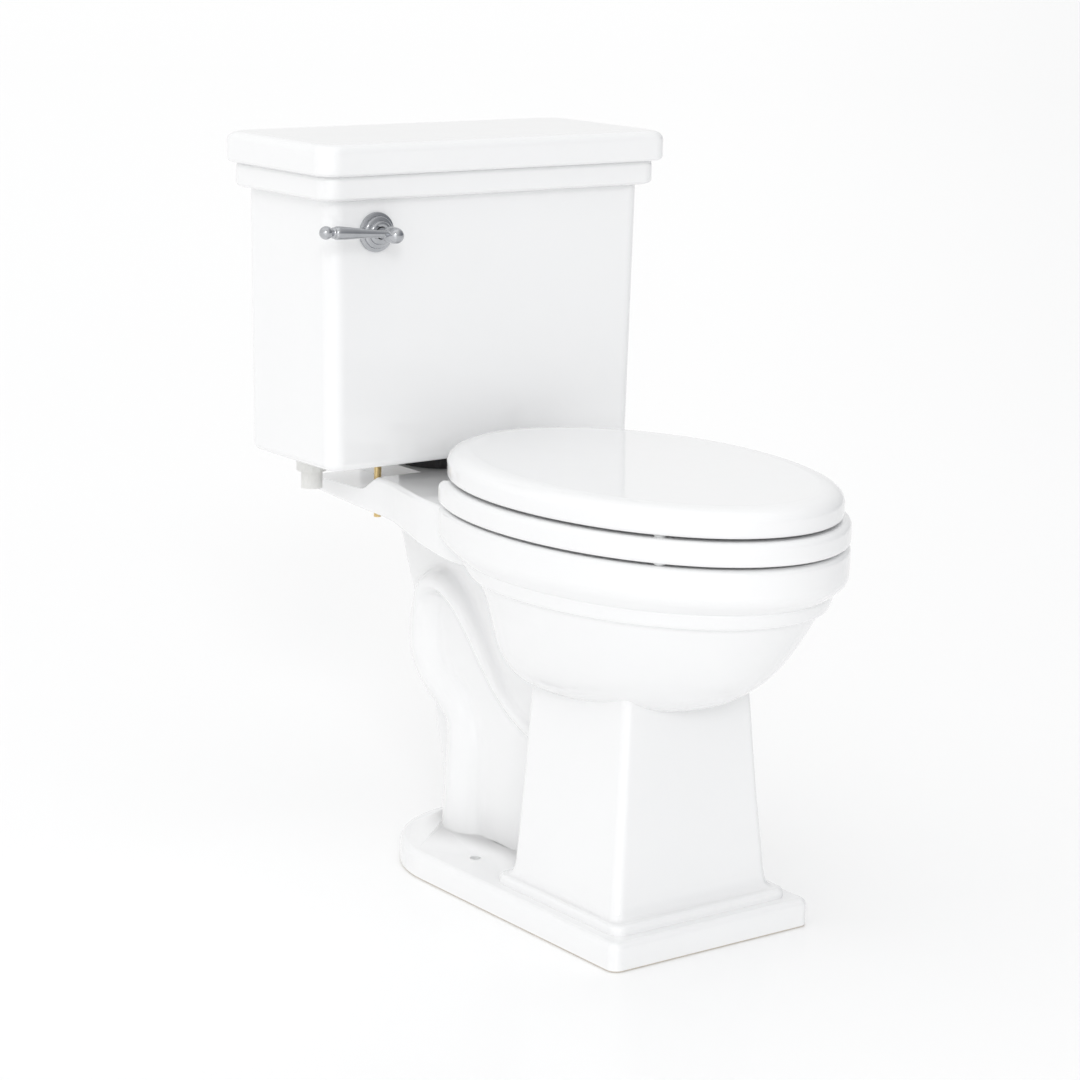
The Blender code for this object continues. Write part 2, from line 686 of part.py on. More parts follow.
def add_hinges(shop):
    """Each hinge post with its pin, its stud and the sleeve that grips it in the deck."""
    for side, word in ((-1, "left"), (1, "right")):
        x = side * HINGE_X
        post = shop.turned(
            f"hinge_post_{word}",
            [(0.0, 0.4450), (0.0070, 0.4450), (0.0075, 0.4220), (0.0095, 0.4180),
             (0.0095, RIM_Z + GAP), (0.0, RIM_Z + GAP)],
            (x, HINGE_Y, 0.0), "white_plastic", steps=20,
        )
        barrel = shop.rod(f"barrel_{word}", (x - BARREL_HALF, HINGE_Y, HINGE_Z),
                          (x + BARREL_HALF, HINGE_Y, HINGE_Z), BARREL_RADIUS, sides=20)
        shop.join(post, barrel)
        bore = shop.rod(f"barrel_bore_{word}", (x - 0.020, HINGE_Y, HINGE_Z),
                        (x + 0.020, HINGE_Y, HINGE_Z), PIN_RADIUS + GAP, sides=12)
        socket = shop.rod(f"stud_socket_{word}", (x, HINGE_Y, 0.4100), (x, HINGE_Y, 0.4300),
                          0.0033, sides=12)
        shop.cut(post, bore, socket)
        shop.rod(f"hinge_pin_{word}", (side * 0.0505, HINGE_Y, HINGE_Z),
                 (side * 0.0895, HINGE_Y, HINGE_Z), PIN_RADIUS, "chrome", sides=12)
        shop.rod(f"seat_stud_{word}", (x, HINGE_Y, 0.3850), (x, HINGE_Y, 0.4290), 0.0030,
                 "brass", sides=12)
        shop.ring(f"seat_sleeve_{word}", (x, HINGE_Y, 0.3810), 0.0033, 0.0077, 0.0330,
                  "black_rubber", steps=16)


# --- flush lever ----------------------------------------------------------------------------------
def add_lever(shop):
    """The plate on the tank, the lever with its ball, the nut inside, and the trip arm."""
    face = TANK_FRONT_TOP - GAP
    # the profile's height runs to -Y once it is turned along Y
    plate = [(0.0070, 0.0105), (0.0120, 0.0100), (0.0125, 0.0070), (0.0165, 0.0066),
             (0.0170, 0.0036), (0.0203, 0.0032), (0.0207, 0.0), (0.0070, 0.0), (0.0070, 0.0105)]
    shop.turned("lever_plate", plate, (LEVER_X, face, LEVER_Z), "chrome", along="Y", steps=28)

    lever = shop.turned(
        "flush_lever",
        [(0.0, 0.0440), (0.0045, 0.0430), (0.0075, 0.0400), (0.0085, 0.0360), (0.0085, 0.0250),
         (0.0065, 0.0220), (SHAFT_RADIUS, 0.0180), (SHAFT_RADIUS, -0.0300), (0.0, -0.0300)],
        (LEVER_X, face, LEVER_Z), "chrome", along="Y", steps=24,
    )
    arm = shop.turned(
        "lever_arm",
        [(0.0, 0.0870), (0.0045, 0.0855), (0.0068, 0.0820), (0.0068, 0.0780), (0.0045, 0.0745),
         (0.0035, 0.0735), (0.0055, 0.0725), (0.0055, 0.0700), (0.0070, 0.0680),
         (0.0065, 0.0560), (0.0048, 0.0350), (0.0038, 0.0180), (0.0038, 0.0), (0.0, 0.0)],
        (LEVER_X, LEVER_ARM_Y, LEVER_Z + 0.0010), along="X", steps=16,
    )
    # points the arm's profile to -X, rising slightly to the ball
    arm.rotation_euler = (0.0, math.radians(-90 + 4), 0.0)
    shop.join(lever, arm)

    shop.nut("lever_nut", (LEVER_X, 0.1785, LEVER_Z), SHAFT_RADIUS + GAP, 0.0140, 0.0085,
             "brass", along="Y")
    trip = shop.tube(
        "trip_arm",
        [(LEVER_X, 0.2020, LEVER_Z), (LEVER_X + 0.020, 0.2060, 0.6800),
         (-0.0800, 0.2300, 0.6640), (CHAIN_X, VALVE_Y, 0.6580)],
        [0.0030] * 4, "brass", resolution=2,
    )
    hub = shop.rod("trip_hub", (LEVER_X, 0.1972, LEVER_Z), (LEVER_X, 0.2072, LEVER_Z), 0.0095,
                   sides=16)
    shop.join(trip, hub)


# --- works in the tank ----------------------------------------------------------------------------
def add_flush_valve(shop):
    """Flush valve with its overflow tube, its nut and the gasket under the tank."""
    floor = TANK_BOTTOM + TANK_FLOOR
    valve = shop.turned(
        "flush_valve",
        [(0.0340, 0.4800), (0.0340, 0.4740), (0.0300, 0.4700), (0.0300, 0.4560),
         (0.0400, 0.4530), (0.0400, floor + GAP), (0.0268, floor + GAP), (0.0268, 0.4200),
         (0.0225, 0.4200), (0.0225, 0.4700), (0.0280, 0.4800), (0.0340, 0.4800)],
        (0.0, VALVE_Y, 0.0), "white_plastic", steps=28,
    )
    pipe = shop.rod("overflow_pipe", (OVERFLOW_X, VALVE_Y, 0.4560), (OVERFLOW_X, VALVE_Y, 0.6900),
                    0.0130, sides=20)
    bridge = shop.box("overflow_bridge", (0.0290, VALVE_Y - 0.010, 0.4555),
                      (OVERFLOW_X, VALVE_Y + 0.010, 0.4720), bevel=0.002)
    bore = shop.rod("overflow_bore", (OVERFLOW_X, VALVE_Y, 0.4640),
                    (OVERFLOW_X, VALVE_Y, 0.7000), 0.0110, sides=20)
    shop.join(valve, bridge, pipe)
    shop.cut(valve, bore)
    shop.nut("flush_valve_nut", (0.0, VALVE_Y, 0.4235), 0.0271, 0.0360, 0.0105,
             "black_plastic", sides=12)
    shop.ring("tank_gasket", (0.0, VALVE_Y, RIM_Z + GAP), 0.0365, 0.0480,
              TANK_BOTTOM - RIM_Z - 2 * GAP, "black_rubber", steps=28)


def add_flapper(shop):
    """The flapper disc with its float dome, arms to the pivot and the hook for the chain."""
    pivot_x, pivot_z = FLAPPER_PIVOT
    seat = 0.4803
    flapper = shop.turned(
        "flapper",
        [(0.0, seat + 0.0180), (0.0120, seat + 0.0170), (0.0200, seat + 0.0110),
         (0.0230, seat + 0.0050), (0.0330, seat + 0.0040), (0.0330, seat), (0.0, seat)],
        (0.0, VALVE_Y, 0.0), "red_rubber", steps=24,
    )
    for side in (-1, 1):
        arm = shop.box(f"flapper_arm_{side}",
                       (0.0100, VALVE_Y + side * 0.0185 - 0.0030, seat + 0.0020),
                       (pivot_x + 0.0060, VALVE_Y + side * 0.0185 + 0.0030, pivot_z + 0.0040),
                       bevel=0.0015)
        shop.join(flapper, arm)
    hook = shop.box("flapper_hook", (CHAIN_X - 0.0030, VALVE_Y - 0.0015, seat + 0.0020),
                    (CHAIN_X + 0.0030, VALVE_Y + 0.0015, seat + 0.0180), bevel=0.0006)
    shop.join(flapper, hook)


def add_chain(shop):
    """The lift chain, as one slim bar from the trip arm down to the flapper's hook."""
    shop.rod("lift_chain", (CHAIN_X, VALVE_Y, 0.5030), (CHAIN_X, VALVE_Y, 0.6530), 0.0012,
             "chrome", sides=8)


def add_fill_valve(shop):
    """Fill valve body, its cap, the float on it, and the washer and nut of its shank."""
    floor = TANK_BOTTOM + TANK_FLOOR
    at = (FILL_X, FILL_Y, 0.0)
    shop.turned(
        "fill_valve",
        [(0.0, 0.6500), (0.0100, 0.6500), (0.0100, 0.4680), (0.0180, 0.4620),
         (0.0180, floor + 0.0033), (0.0115, floor + 0.0033), (0.0115, 0.3960), (0.0, 0.3960)],
        at, "white_plastic", steps=20,
    )
    shop.ring("fill_valve_washer", (FILL_X, FILL_Y, floor + GAP), 0.0118, 0.0175, 0.0027,
              "black_rubber", steps=20)
    shop.nut("fill_valve_nut", (FILL_X, FILL_Y, 0.4150), 0.0118, 0.0165,
             TANK_BOTTOM - GAP - 0.4150, "white_plastic", sides=12)
    cap = shop.turned(
        "fill_valve_cap",
        [(0.0, 0.6900), (0.0200, 0.6890), (0.0220, 0.6850), (0.0220, 0.6560),
         (0.0190, 0.6503), (0.0, 0.6503)],
        at, "black_plastic", steps=20,
    )
    nozzle = shop.rod("nozzle", (FILL_X, FILL_Y, 0.6720), (FILL_X + 0.0290, FILL_Y, 0.6720),
                      0.0028, sides=10)
    shop.join(cap, nozzle)
    shop.turned(
        "float_cup",
        [(0.0265, 0.5350), (0.0265, 0.4800), (0.0106, 0.4800), (0.0106, 0.5350),
         (0.0265, 0.5350)],
        at, "black_plastic", steps=20,
    )


def add_refill_tube(shop):
    """The soft tube from the fill valve's cap to the overflow, and the clip that holds it."""
    start_x = FILL_X + 0.0295
    points = [(start_x, FILL_Y, 0.6720), (start_x + 0.010, FILL_Y, 0.6720),
              (start_x + 0.018, 0.2830, 0.6770), (start_x + 0.026, 0.2900, 0.6880),
              (start_x + 0.042, 0.2980, 0.6990),
              (-0.0400, 0.3020, 0.7040), (0.0050, 0.2980, 0.7060), (0.0350, 0.2800, 0.7070),
              (0.0500, 0.2610, 0.7070), (0.0520, 0.2520, 0.7040),
              (0.0520, 0.2500, 0.6980), (0.0520, 0.2500, 0.6760)]
    shop.tube("refill_tube", points, [0.0028] * len(points), "black_rubber", resolution=2)
    shop.ring("refill_clip", (OVERFLOW_X, VALVE_Y, 0.6903), 0.0034, 0.0140, 0.0030,
              "white_plastic", steps=16)


def add_tank_bolts(shop):
    """Two bolts that hold the tank on the deck, each with a rubber washer and a nut."""
    floor = TANK_BOTTOM + TANK_FLOOR
    for side, word in ((-1, "left"), (1, "right")):
        x = side * TANK_BOLT_X
        shop.turned(
            f"tank_bolt_{word}",
            [(0.0, 0.4540), (0.0060, 0.4530), (0.0080, floor + 0.0033),
             (0.0040, floor + 0.0033), (0.0040, 0.3620), (0.0, 0.3620)],
            (x, VALVE_Y, 0.0), "brass", steps=14,
        )
        shop.ring(f"tank_bolt_washer_{word}", (x, VALVE_Y, floor + GAP), 0.0043, 0.0110,
                  0.0027, "black_rubber", steps=16)
        shop.nut(f"tank_bolt_nut_{word}", (x, VALVE_Y, 0.3680), 0.0043, 0.0090, 0.0075,
                 "brass")


def hang(shop, name, at, pieces):
    """Put an empty on a joint's axis, and hang the moving pieces from it where they are."""
    pivot = bpy.data.objects.new(name, None)
    pivot.empty_display_size = 0.03
    pivot.location = at
    shop.pieces.objects.link(pivot)
    back = Matrix.Translation(at).inverted()
    for piece in pieces:
        obj = bpy.data.objects[piece]
        obj.parent = pivot
        obj.matrix_parent_inverse = back


def hang_moving_pieces(shop):
    """Every joint of the toilet, with the pieces that move on it."""
    seat_axis = (0.0, HINGE_Y, HINGE_Z)
    ring_buffers = [f"ring_buffer_{place}_{word}" for place in BUFFER_ANGLES
                    for word in ("left", "right")]
    hang(shop, "seat_ring_axis", seat_axis, ["seat_ring", *ring_buffers])
    hang(shop, "seat_lid_axis", seat_axis, ["seat_lid", "lid_buffer_left", "lid_buffer_right"])
    hang(shop, "lever_axis", (LEVER_X, TANK_FRONT_TOP, LEVER_Z), ["flush_lever", "trip_arm"])
    pivot_x, pivot_z = FLAPPER_PIVOT
    hang(shop, "flapper_axis", (pivot_x, VALVE_Y, pivot_z), ["flapper"])
    hang(shop, "chain_axis", (CHAIN_X, VALVE_Y, pivot_z), ["lift_chain"])
    hang(shop, "float_axis", (FILL_X, FILL_Y, 0.4800), ["float_cup"])
    hang(shop, "tank_lid_axis", (0.0, VALVE_Y, LID_BOTTOM), ["tank_lid"])


def main():
    for obj in list(bpy.data.objects):
        bpy.data.objects.remove(obj)
    shop = Workshop()
    add_bowl(shop)
    add_tank(shop)
    add_tank_lid(shop)
    add_seat_ring(shop)
    add_seat_lid(shop)
    add_buffers(shop)
    add_hinges(shop)
    add_lever(shop)
    add_flush_valve(shop)
    add_flapper(shop)
    add_chain(shop)
    add_fill_valve(shop)
    add_refill_tube(shop)
    add_tank_bolts(shop)
    hang_moving_pieces(shop)


main()
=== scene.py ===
"""Looks of the close coupled toilet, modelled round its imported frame."""

from __future__ import annotations

import logging
import math
from collections.abc import Callable, Iterable, Sequence
from dataclasses import dataclass
from enum import Enum

import bmesh
import bpy
from mathutils import Matrix, Vector


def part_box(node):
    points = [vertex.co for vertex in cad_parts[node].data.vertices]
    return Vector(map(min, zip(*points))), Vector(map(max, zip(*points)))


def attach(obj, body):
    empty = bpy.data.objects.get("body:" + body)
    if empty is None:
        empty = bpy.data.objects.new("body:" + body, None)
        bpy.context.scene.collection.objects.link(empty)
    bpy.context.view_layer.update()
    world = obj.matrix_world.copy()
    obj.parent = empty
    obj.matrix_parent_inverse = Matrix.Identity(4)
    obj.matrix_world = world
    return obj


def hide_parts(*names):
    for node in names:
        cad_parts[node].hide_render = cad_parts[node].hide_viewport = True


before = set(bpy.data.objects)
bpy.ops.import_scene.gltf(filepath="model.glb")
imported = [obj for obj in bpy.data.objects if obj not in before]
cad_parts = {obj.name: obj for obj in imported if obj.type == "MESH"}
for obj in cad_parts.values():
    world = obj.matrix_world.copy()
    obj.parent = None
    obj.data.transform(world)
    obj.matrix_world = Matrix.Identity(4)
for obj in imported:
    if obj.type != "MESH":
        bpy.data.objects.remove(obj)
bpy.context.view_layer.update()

LOG = logging.getLogger("toilet")

Point = tuple[float, float, float]
Flat = tuple[float, float]
Row = tuple[float, float, float, float]
Level = tuple[float, float, float, float, float]

# places that several pieces share
OVAL_Y = -0.0900
HINGE_X = 0.0700
HINGE_Y = 0.0940
HINGE_Z = 0.4520
LEVER_X = -0.1450
LEVER_Z = 0.6830
VALVE_Y = 0.2500
TANK_BOLT_X = 0.0850
PIN_HOLE = 0.0033
PIN_SIDES = 24

# corners nearer to each other than this are merged
WELD = 0.00001
# a side shorter than this is flat, and isn't scaled
NOTHING = 1e-9


# --- finishes -------------------------------------------------------------------------------------
@dataclass(frozen=True)
class Finish:
    """One surface finish: a Principled shader with noise in its colour, gloss and relief."""

    name: str
    colour: Point
    shade: Point
    roughness: Flat
    grain: float
    relief: float
    metallic: float = 0.0
    coat: float = 0.0
    coat_roughness: float = 0.02
    ior: float = 1.5
    sheen: float = 0.0
    blend: Flat = (0.35, 0.65)
    fineness: float = 9.0

    def make(self) -> bpy.types.Material:
        """Builds the material.

        Returns:
            The new material, on Object coordinates.
        """
        material = bpy.data.materials.new(self.name)
        material.use_nodes = True
        tree = material.node_tree
        shader = tree.nodes["Principled BSDF"]
        shader.inputs["Metallic"].default_value = self.metallic
        shader.inputs["Coat Weight"].default_value = self.coat
        shader.inputs["Coat Roughness"].default_value = self.coat_roughness
        shader.inputs["IOR"].default_value = self.ior
        shader.inputs["Sheen Weight"].default_value = self.sheen
        place = tree.nodes.new("ShaderNodeTexCoord")
        cloud = self._noise(tree, place, self.grain, detail=3.0)
        fine = self._noise(tree, place, self.grain * self.fineness, detail=2.0)
        self._mix_colour(tree, shader, cloud)
        self._spread_roughness(tree, shader, fine)
        bump = tree.nodes.new("ShaderNodeBump")
        bump.inputs["Strength"].default_value = 1.0
        bump.inputs["Distance"].default_value = self.relief
        tree.links.new(cloud.outputs["Fac"], bump.inputs["Height"])
        tree.links.new(bump.outputs["Normal"], shader.inputs["Normal"])
        self.add_details(tree, shader, place)
        return material

    @staticmethod
    def _noise(
        tree: bpy.types.NodeTree, place: bpy.types.Node, scale: float, detail: float
    ) -> bpy.types.Node:
        """Adds a noise on Object coordinates, with its scale in waves to the metre.

        Args:
            tree: The material's node tree.
            place: Its texture coordinates.
            scale: Waves to the metre.
            detail: Finer layers in the noise.

        Returns:
            The noise node.
        """
        noise = tree.nodes.new("ShaderNodeTexNoise")
        noise.inputs["Scale"].default_value = scale
        noise.inputs["Detail"].default_value = detail
        tree.links.new(place.outputs["Object"], noise.inputs["Vector"])
        return noise

    def _mix_colour(
        self, tree: bpy.types.NodeTree, shader: bpy.types.Node, cloud: bpy.types.Node
    ) -> None:
        """Blends the two colours by the coarse noise.

        Args:
            tree: The material's node tree.
            shader: Its Principled shader.
            cloud: The coarse noise.
        """
        ramp = tree.nodes.new("ShaderNodeValToRGB")
        ramp.name = "tint"
        ramp.color_ramp.elements[0].position = self.blend[0]
        ramp.color_ramp.elements[0].color = (*self.shade, 1.0)
        ramp.color_ramp.elements[1].position = self.blend[1]
        ramp.color_ramp.elements[1].color = (*self.colour, 1.0)
        tree.links.new(cloud.outputs["Fac"], ramp.inputs["Fac"])
        tree.links.new(ramp.outputs["Color"], shader.inputs["Base Color"])

    def _spread_roughness(
        self, tree: bpy.types.NodeTree, shader: bpy.types.Node, fine: bpy.types.Node
    ) -> None:
        """Spreads the gloss between its two limits by the fine noise.

        Args:
            tree: The material's node tree.
            shader: Its Principled shader.
            fine: The fine noise.
        """
        spread = tree.nodes.new("ShaderNodeMapRange")
        spread.inputs["To Min"].default_value = self.roughness[0]
        spread.inputs["To Max"].default_value = self.roughness[1]
        tree.links.new(fine.outputs["Fac"], spread.inputs["Value"])
        tree.links.new(spread.outputs["Result"], shader.inputs["Roughness"])

    def add_details(
        self, tree: bpy.types.NodeTree, shader: bpy.types.Node, place: bpy.types.Node
    ) -> None:
        """Leaves the finish plain. A finish with a detail of its own adds it here."""


@dataclass(frozen=True)
class Glaze(Finish):
    """White china glaze, with bare fired clay where the casting stands on the floor."""

    bare_below: float = 0.0016
    clay: Point = (0.62, 0.57, 0.50)

    def add_details(
        self, tree: bpy.types.NodeTree, shader: bpy.types.Node, place: bpy.types.Node
    ) -> None:
        """Leaves the underside of the foot unglazed.

        Args:
            tree: The material's node tree.
            shader: Its Principled shader.
            place: Its texture coordinates.
        """
        split = tree.nodes.new("ShaderNodeSeparateXYZ")
        tree.links.new(place.outputs["Object"], split.inputs["Vector"])
        bare = tree.nodes.new("ShaderNodeMath")
        bare.operation = "LESS_THAN"
        bare.inputs[1].default_value = self.bare_below
        tree.links.new(split.outputs["Z"], bare.inputs[0])
        mix = tree.nodes.new("ShaderNodeMix")
        mix.data_type = "RGBA"
        tree.links.new(bare.outputs["Value"], mix.inputs["Factor"])
        tree.links.new(tree.nodes["tint"].outputs["Color"], mix.inputs["A"])
        mix.inputs["B"].default_value = (*self.clay, 1.0)
        tree.links.new(mix.outputs["Result"], shader.inputs["Base Color"])


CHINA = Glaze(
    "china_glaze", (0.935, 0.938, 0.942), (0.928, 0.932, 0.936), (0.05, 0.09), 7.0, 0.00035,
    coat=0.6,
)
SEAT_GLOSS = Finish(
    "seat_gloss", (0.935, 0.938, 0.942), (0.930, 0.934, 0.938), (0.07, 0.12), 10.0, 0.00015,
    coat=0.4,
)
CHROME = Finish(
    "polished_chrome", (0.50, 0.51, 0.53), (0.46, 0.47, 0.49), (0.04, 0.08), 60.0, 0.00002,
    metallic=1.0,
)
BRASS = Finish(
    "plain_brass", (0.78, 0.60, 0.30), (0.62, 0.45, 0.20), (0.22, 0.38), 90.0, 0.00006,
    metallic=1.0,
)
WHITE_PLASTIC = Finish(
    "white_moulding", (0.82, 0.82, 0.80), (0.79, 0.79, 0.77), (0.30, 0.42), 120.0, 0.00004,
)
BLACK_PLASTIC = Finish(
    "black_moulding", (0.030, 0.030, 0.032), (0.020, 0.020, 0.022), (0.34, 0.48), 150.0, 0.00005,
)
RED_RUBBER = Finish(
    "red_rubber", (0.46, 0.060, 0.045), (0.38, 0.045, 0.035), (0.50, 0.68), 120.0, 0.00010,
    sheen=0.1,
)
BLACK_RUBBER = Finish(
    "black_rubber", (0.024, 0.024, 0.025), (0.014, 0.014, 0.015), (0.60, 0.80), 160.0, 0.00010,
    sheen=0.1,
)
PAD_RUBBER = Finish(
    "pad_rubber", (0.80, 0.81, 0.81), (0.76, 0.77, 0.77), (0.42, 0.58), 200.0, 0.00006,
)


class Palette:
    """Every finish of the toilet as a material, made once."""

    def __init__(self) -> None:
        """Makes the materials."""
        self.china = CHINA.make()
        self.seat = SEAT_GLOSS.make()
        self.chrome = CHROME.make()
        self.brass = BRASS.make()
        self.white_plastic = WHITE_PLASTIC.make()
        self.black_plastic = BLACK_PLASTIC.make()
        self.red_rubber = RED_RUBBER.make()
        self.black_rubber = BLACK_RUBBER.make()
        self.pad = PAD_RUBBER.make()


class Body(Enum):
    """The bodies of the frame that the modelled pieces ride on."""

    PAN = "pan"
    RING = "ring"
    LID = "lid"
    LEVER = "lever"
    CISTERN_LID = "cistern_lid"


class Axis(Enum):
    """The direction that a turned piece's height runs in."""

    UP = "up"
    FRONT = "front"
    LEFT = "left"


# --- modelling ------------------------------------------------------------------------------------
class Shape:
    """One mesh being modelled in edit mode with Blender's own operators."""

    def __init__(self, name: str) -> None:
        """Takes over the primitive just added, with its place already in its mesh.

        Args:
            name: The object's name.
        """
        self.obj = bpy.context.object
        self.obj.name = name
        self.obj.data.name = name
        bpy.ops.object.transform_apply(location=True, rotation=True, scale=True)

    # starting a shape
    @classmethod
    def disc(cls, name: str, sides: int, z: float, middle: float) -> Shape:
        """Adds a round face of radius one, facing up, and selects it.

        Args:
            name: The object's name.
            sides: Corners round the disc.
            z: Its height.
            middle: The y of its centre.

        Returns:
            The shape, in object mode.
        """
        clear_selection()
        bpy.ops.mesh.primitive_circle_add(
            vertices=sides, radius=1.0, fill_type="NGON", location=(0.0, middle, z)
        )
        return cls(name)

    @classmethod
    def sheet(cls, name: str, low: Flat, high: Flat, z: float) -> Shape:
        """Adds a flat oblong face between two corners in x and y.

        Args:
            name: The object's name.
            low: The corner with the least x and y.
            high: The corner opposite.
            z: Its height.

        Returns:
            The shape, in object mode.
        """
        clear_selection()
        middle = ((low[0] + high[0]) / 2, (low[1] + high[1]) / 2, z)
        bpy.ops.mesh.primitive_plane_add(size=1.0, location=middle)
        bpy.context.object.scale = (high[0] - low[0], high[1] - low[1], 1.0)
        return cls(name)

    @classmethod
    def block(cls, name: str, low: Point, high: Point, round_edges: float = 0.0) -> Shape:
        """Adds a block between two corners, with all its edges rounded.

        Args:
            name: The object's name.
            low: The corner with the least x, y and z.
            high: The corner opposite.
            round_edges: Radius of its edges.

        Returns:
            The shape, in object mode.
        """
        clear_selection()
        centre = (Vector(low) + Vector(high)) / 2
        bpy.ops.mesh.primitive_cube_add(size=1.0, location=centre)
        bpy.context.object.scale = Vector(high) - Vector(low)
        shape = cls(name)
        if round_edges:
            shape.edit()
            bpy.ops.mesh.select_all(action="SELECT")
            bpy.ops.mesh.bevel(offset=round_edges, segments=5, affect="EDGES")
            shape.leave()
        return shape

    @classmethod
    def rod(cls, name: str, start: Point, end: Point, radius: float, sides: int = 48) -> Shape:
        """Adds a plain cylinder between two points, for cutting and joining.

        Args:
            name: The object's name.
            start: Middle of one end.
            end: Middle of the other end.
            radius: Its radius.
            sides: Facets round it.

        Returns:
            The shape, in object mode.
        """
        clear_selection()
        first, last = Vector(start), Vector(end)
        turn = (last - first).to_track_quat("Z", "Y").to_euler()
        bpy.ops.mesh.primitive_cylinder_add(
            vertices=sides, radius=radius, depth=(last - first).length,
            location=(first + last) / 2, rotation=turn,
        )
        return cls(name)

    @classmethod
    def path(cls, name: str, points: Iterable[Point], closed: bool = False) -> Shape:
        """Draws a chain of edges: one corner is extruded from point to point.

        Args:
            name: The object's name.
            points: The corners in order.
            closed: Whether the last corner joins the first, with a face between them.

        Returns:
            The shape, in object mode.
        """
        clear_selection()
        spots = [Vector(point) for point in points]
        bpy.ops.mesh.primitive_plane_add(size=0.001, location=spots[0])
        shape = cls(name)
        shape.edit()
        bpy.ops.mesh.select_all(action="SELECT")
        bpy.ops.mesh.merge(type="CENTER")
        for here, there in zip(spots, spots[1:]):
            bpy.ops.mesh.extrude_region_move(
                TRANSFORM_OT_translate={"value": tuple(there - here)}
            )
        if closed:
            bpy.ops.mesh.select_all(action="SELECT")
            bpy.ops.mesh.edge_face_add()
        shape.leave()
        return shape

    @classmethod
    def turned(
        cls, name: str, profile: Sequence[Flat], at: Point, along: Axis = Axis.UP, steps: int = 64
    ) -> Shape:
        """Turns a profile of (radius, height) points about an axis through a point.

        Args:
            name: The object's name.
            profile: The outline, from the axis back to the axis, or a loop for a ring.
            at: The place of height nought on the axis.
            along: Where the height runs.
            steps: Facets round the piece.

        Returns:
            The closed shape, in object mode.
        """
        shape = cls.path(name, [(radius, 0.0, height) for radius, height in profile])
        screw = shape.obj.modifiers.new("turn", "SCREW")
        screw.steps = steps
        screw.render_steps = steps
        screw.use_merge_vertices = True
        screw.merge_threshold = WELD
        shape.apply(screw)
        turn = {
            Axis.UP: Matrix.Identity(4),
            Axis.FRONT: Matrix.Rotation(math.radians(90), 4, "X"),
            Axis.LEFT: Matrix.Rotation(math.radians(-90), 4, "Y"),
        }[along]
        shape.place(Matrix.Translation(at) @ turn)
        shape.tidy()
        return shape

    @classmethod
    def tube(
        cls, name: str, points: Sequence[Point], radii: Sequence[float], stretch_x: float = 1.0
    ) -> Shape:
        """Runs a bar through points, and closes its ends.

        Args:
            name: The object's name.
            points: The points on its middle line.
            radii: Its radius at each point.
            stretch_x: How much wider than round it is in x.

        Returns:
            The closed shape, in object mode.
        """
        clear_selection()
        bpy.ops.curve.primitive_bezier_curve_add(location=(0.0, 0.0, 0.0))
        curve = bpy.context.object.data
        curve.bevel_depth = 1.0
        curve.bevel_resolution = 10
        curve.resolution_u = 8
        curve.use_fill_caps = True
        spline = curve.splines[0]
        spline.bezier_points.add(len(points) - 2)
        for knot, spot, radius in zip(spline.bezier_points, points, radii):
            knot.co = spot
            knot.radius = radius
            knot.handle_left_type = knot.handle_right_type = "AUTO"
        bpy.ops.object.convert(target="MESH")
        bpy.context.object.scale = (stretch_x, 1.0, 1.0)
        shape = cls(name)
        shape.tidy()
        return shape

    @classmethod
    def plate(cls, name: str, outline: Iterable[Flat], left: float, right: float) -> Shape:
        """Models a plate from its outline in y and z, between two values of x.

        Args:
            name: The object's name.
            outline: Its corners in order.
            left: The least x.
            right: The greatest x.

        Returns:
            The closed shape, in object mode.
        """
        shape = cls.path(name, [(left, y, z) for y, z in outline], closed=True)
        shape.thicken((right - left, 0.0, 0.0))
        return shape

    @classmethod
    def stack(cls, name: str, levels: Sequence[Row], corner: float, steps: int) -> Shape:
        """Models a solid that is a rounded oblong at every level.

        Args:
            name: The object's name.
            levels: Height, half width, front and back of each level, from first to last.
            corner: Radius of its upright edges.
            steps: Facets round each of them.

        Returns:
            The closed shape, in object mode.
        """
        boxes = [((-half, front, z), (half, back, z)) for z, half, front, back in levels]
        low, high = boxes[0]
        shape = cls.sheet(name, low[:2], high[:2], low[2])
        shape.round_corners(corner, lambda co: True, steps)
        shape.grow(boxes)
        return shape

    # working on it
    def select(self) -> None:
        """Makes this shape the active one, and the only one selected."""
        clear_selection()
        bpy.context.view_layer.objects.active = self.obj
        self.obj.select_set(True)

    def place(self, matrix: Matrix) -> None:
        """Moves the mesh itself by a matrix.

        Args:
            matrix: The move.
        """
        self.select()
        self.obj.matrix_world = matrix
        bpy.ops.object.transform_apply(location=True, rotation=True, scale=True)

    def edit(self) -> None:
        """Goes into edit mode on this shape alone."""
        self.select()
        bpy.ops.object.mode_set(mode="EDIT")

    def leave(self) -> None:
        """Goes back to object mode."""
        bpy.ops.object.mode_set(mode="OBJECT")

    def corners(self, wanted: Callable[[Vector], bool]) -> None:
        """Selects, in edit mode, the edges and faces whose corners all pass a test.

        Args:
            wanted: The test on a corner.
        """
        bpy.ops.mesh.select_all(action="DESELECT")
        mesh = bmesh.from_edit_mesh(self.obj.data)
        for vert in mesh.verts:
            vert.select = wanted(vert.co)
        mesh.select_mode = {"VERT"}
        mesh.select_flush_mode()
        mesh.select_flush(True)
        bmesh.update_edit_mesh(self.obj.data)

    def round_corners(self, radius: float, wanted: Callable[[Vector], bool], steps: int) -> None:
        """Rounds the corners of a flat face that pass a test.

        Args:
            radius: Size of the rounding.
            wanted: The test on a corner.
            steps: Facets in the rounding.
        """
        self.edit()
        self.corners(wanted)
        bpy.ops.mesh.bevel(offset=radius, segments=steps, affect="VERTICES", profile=0.5)
        self.leave()

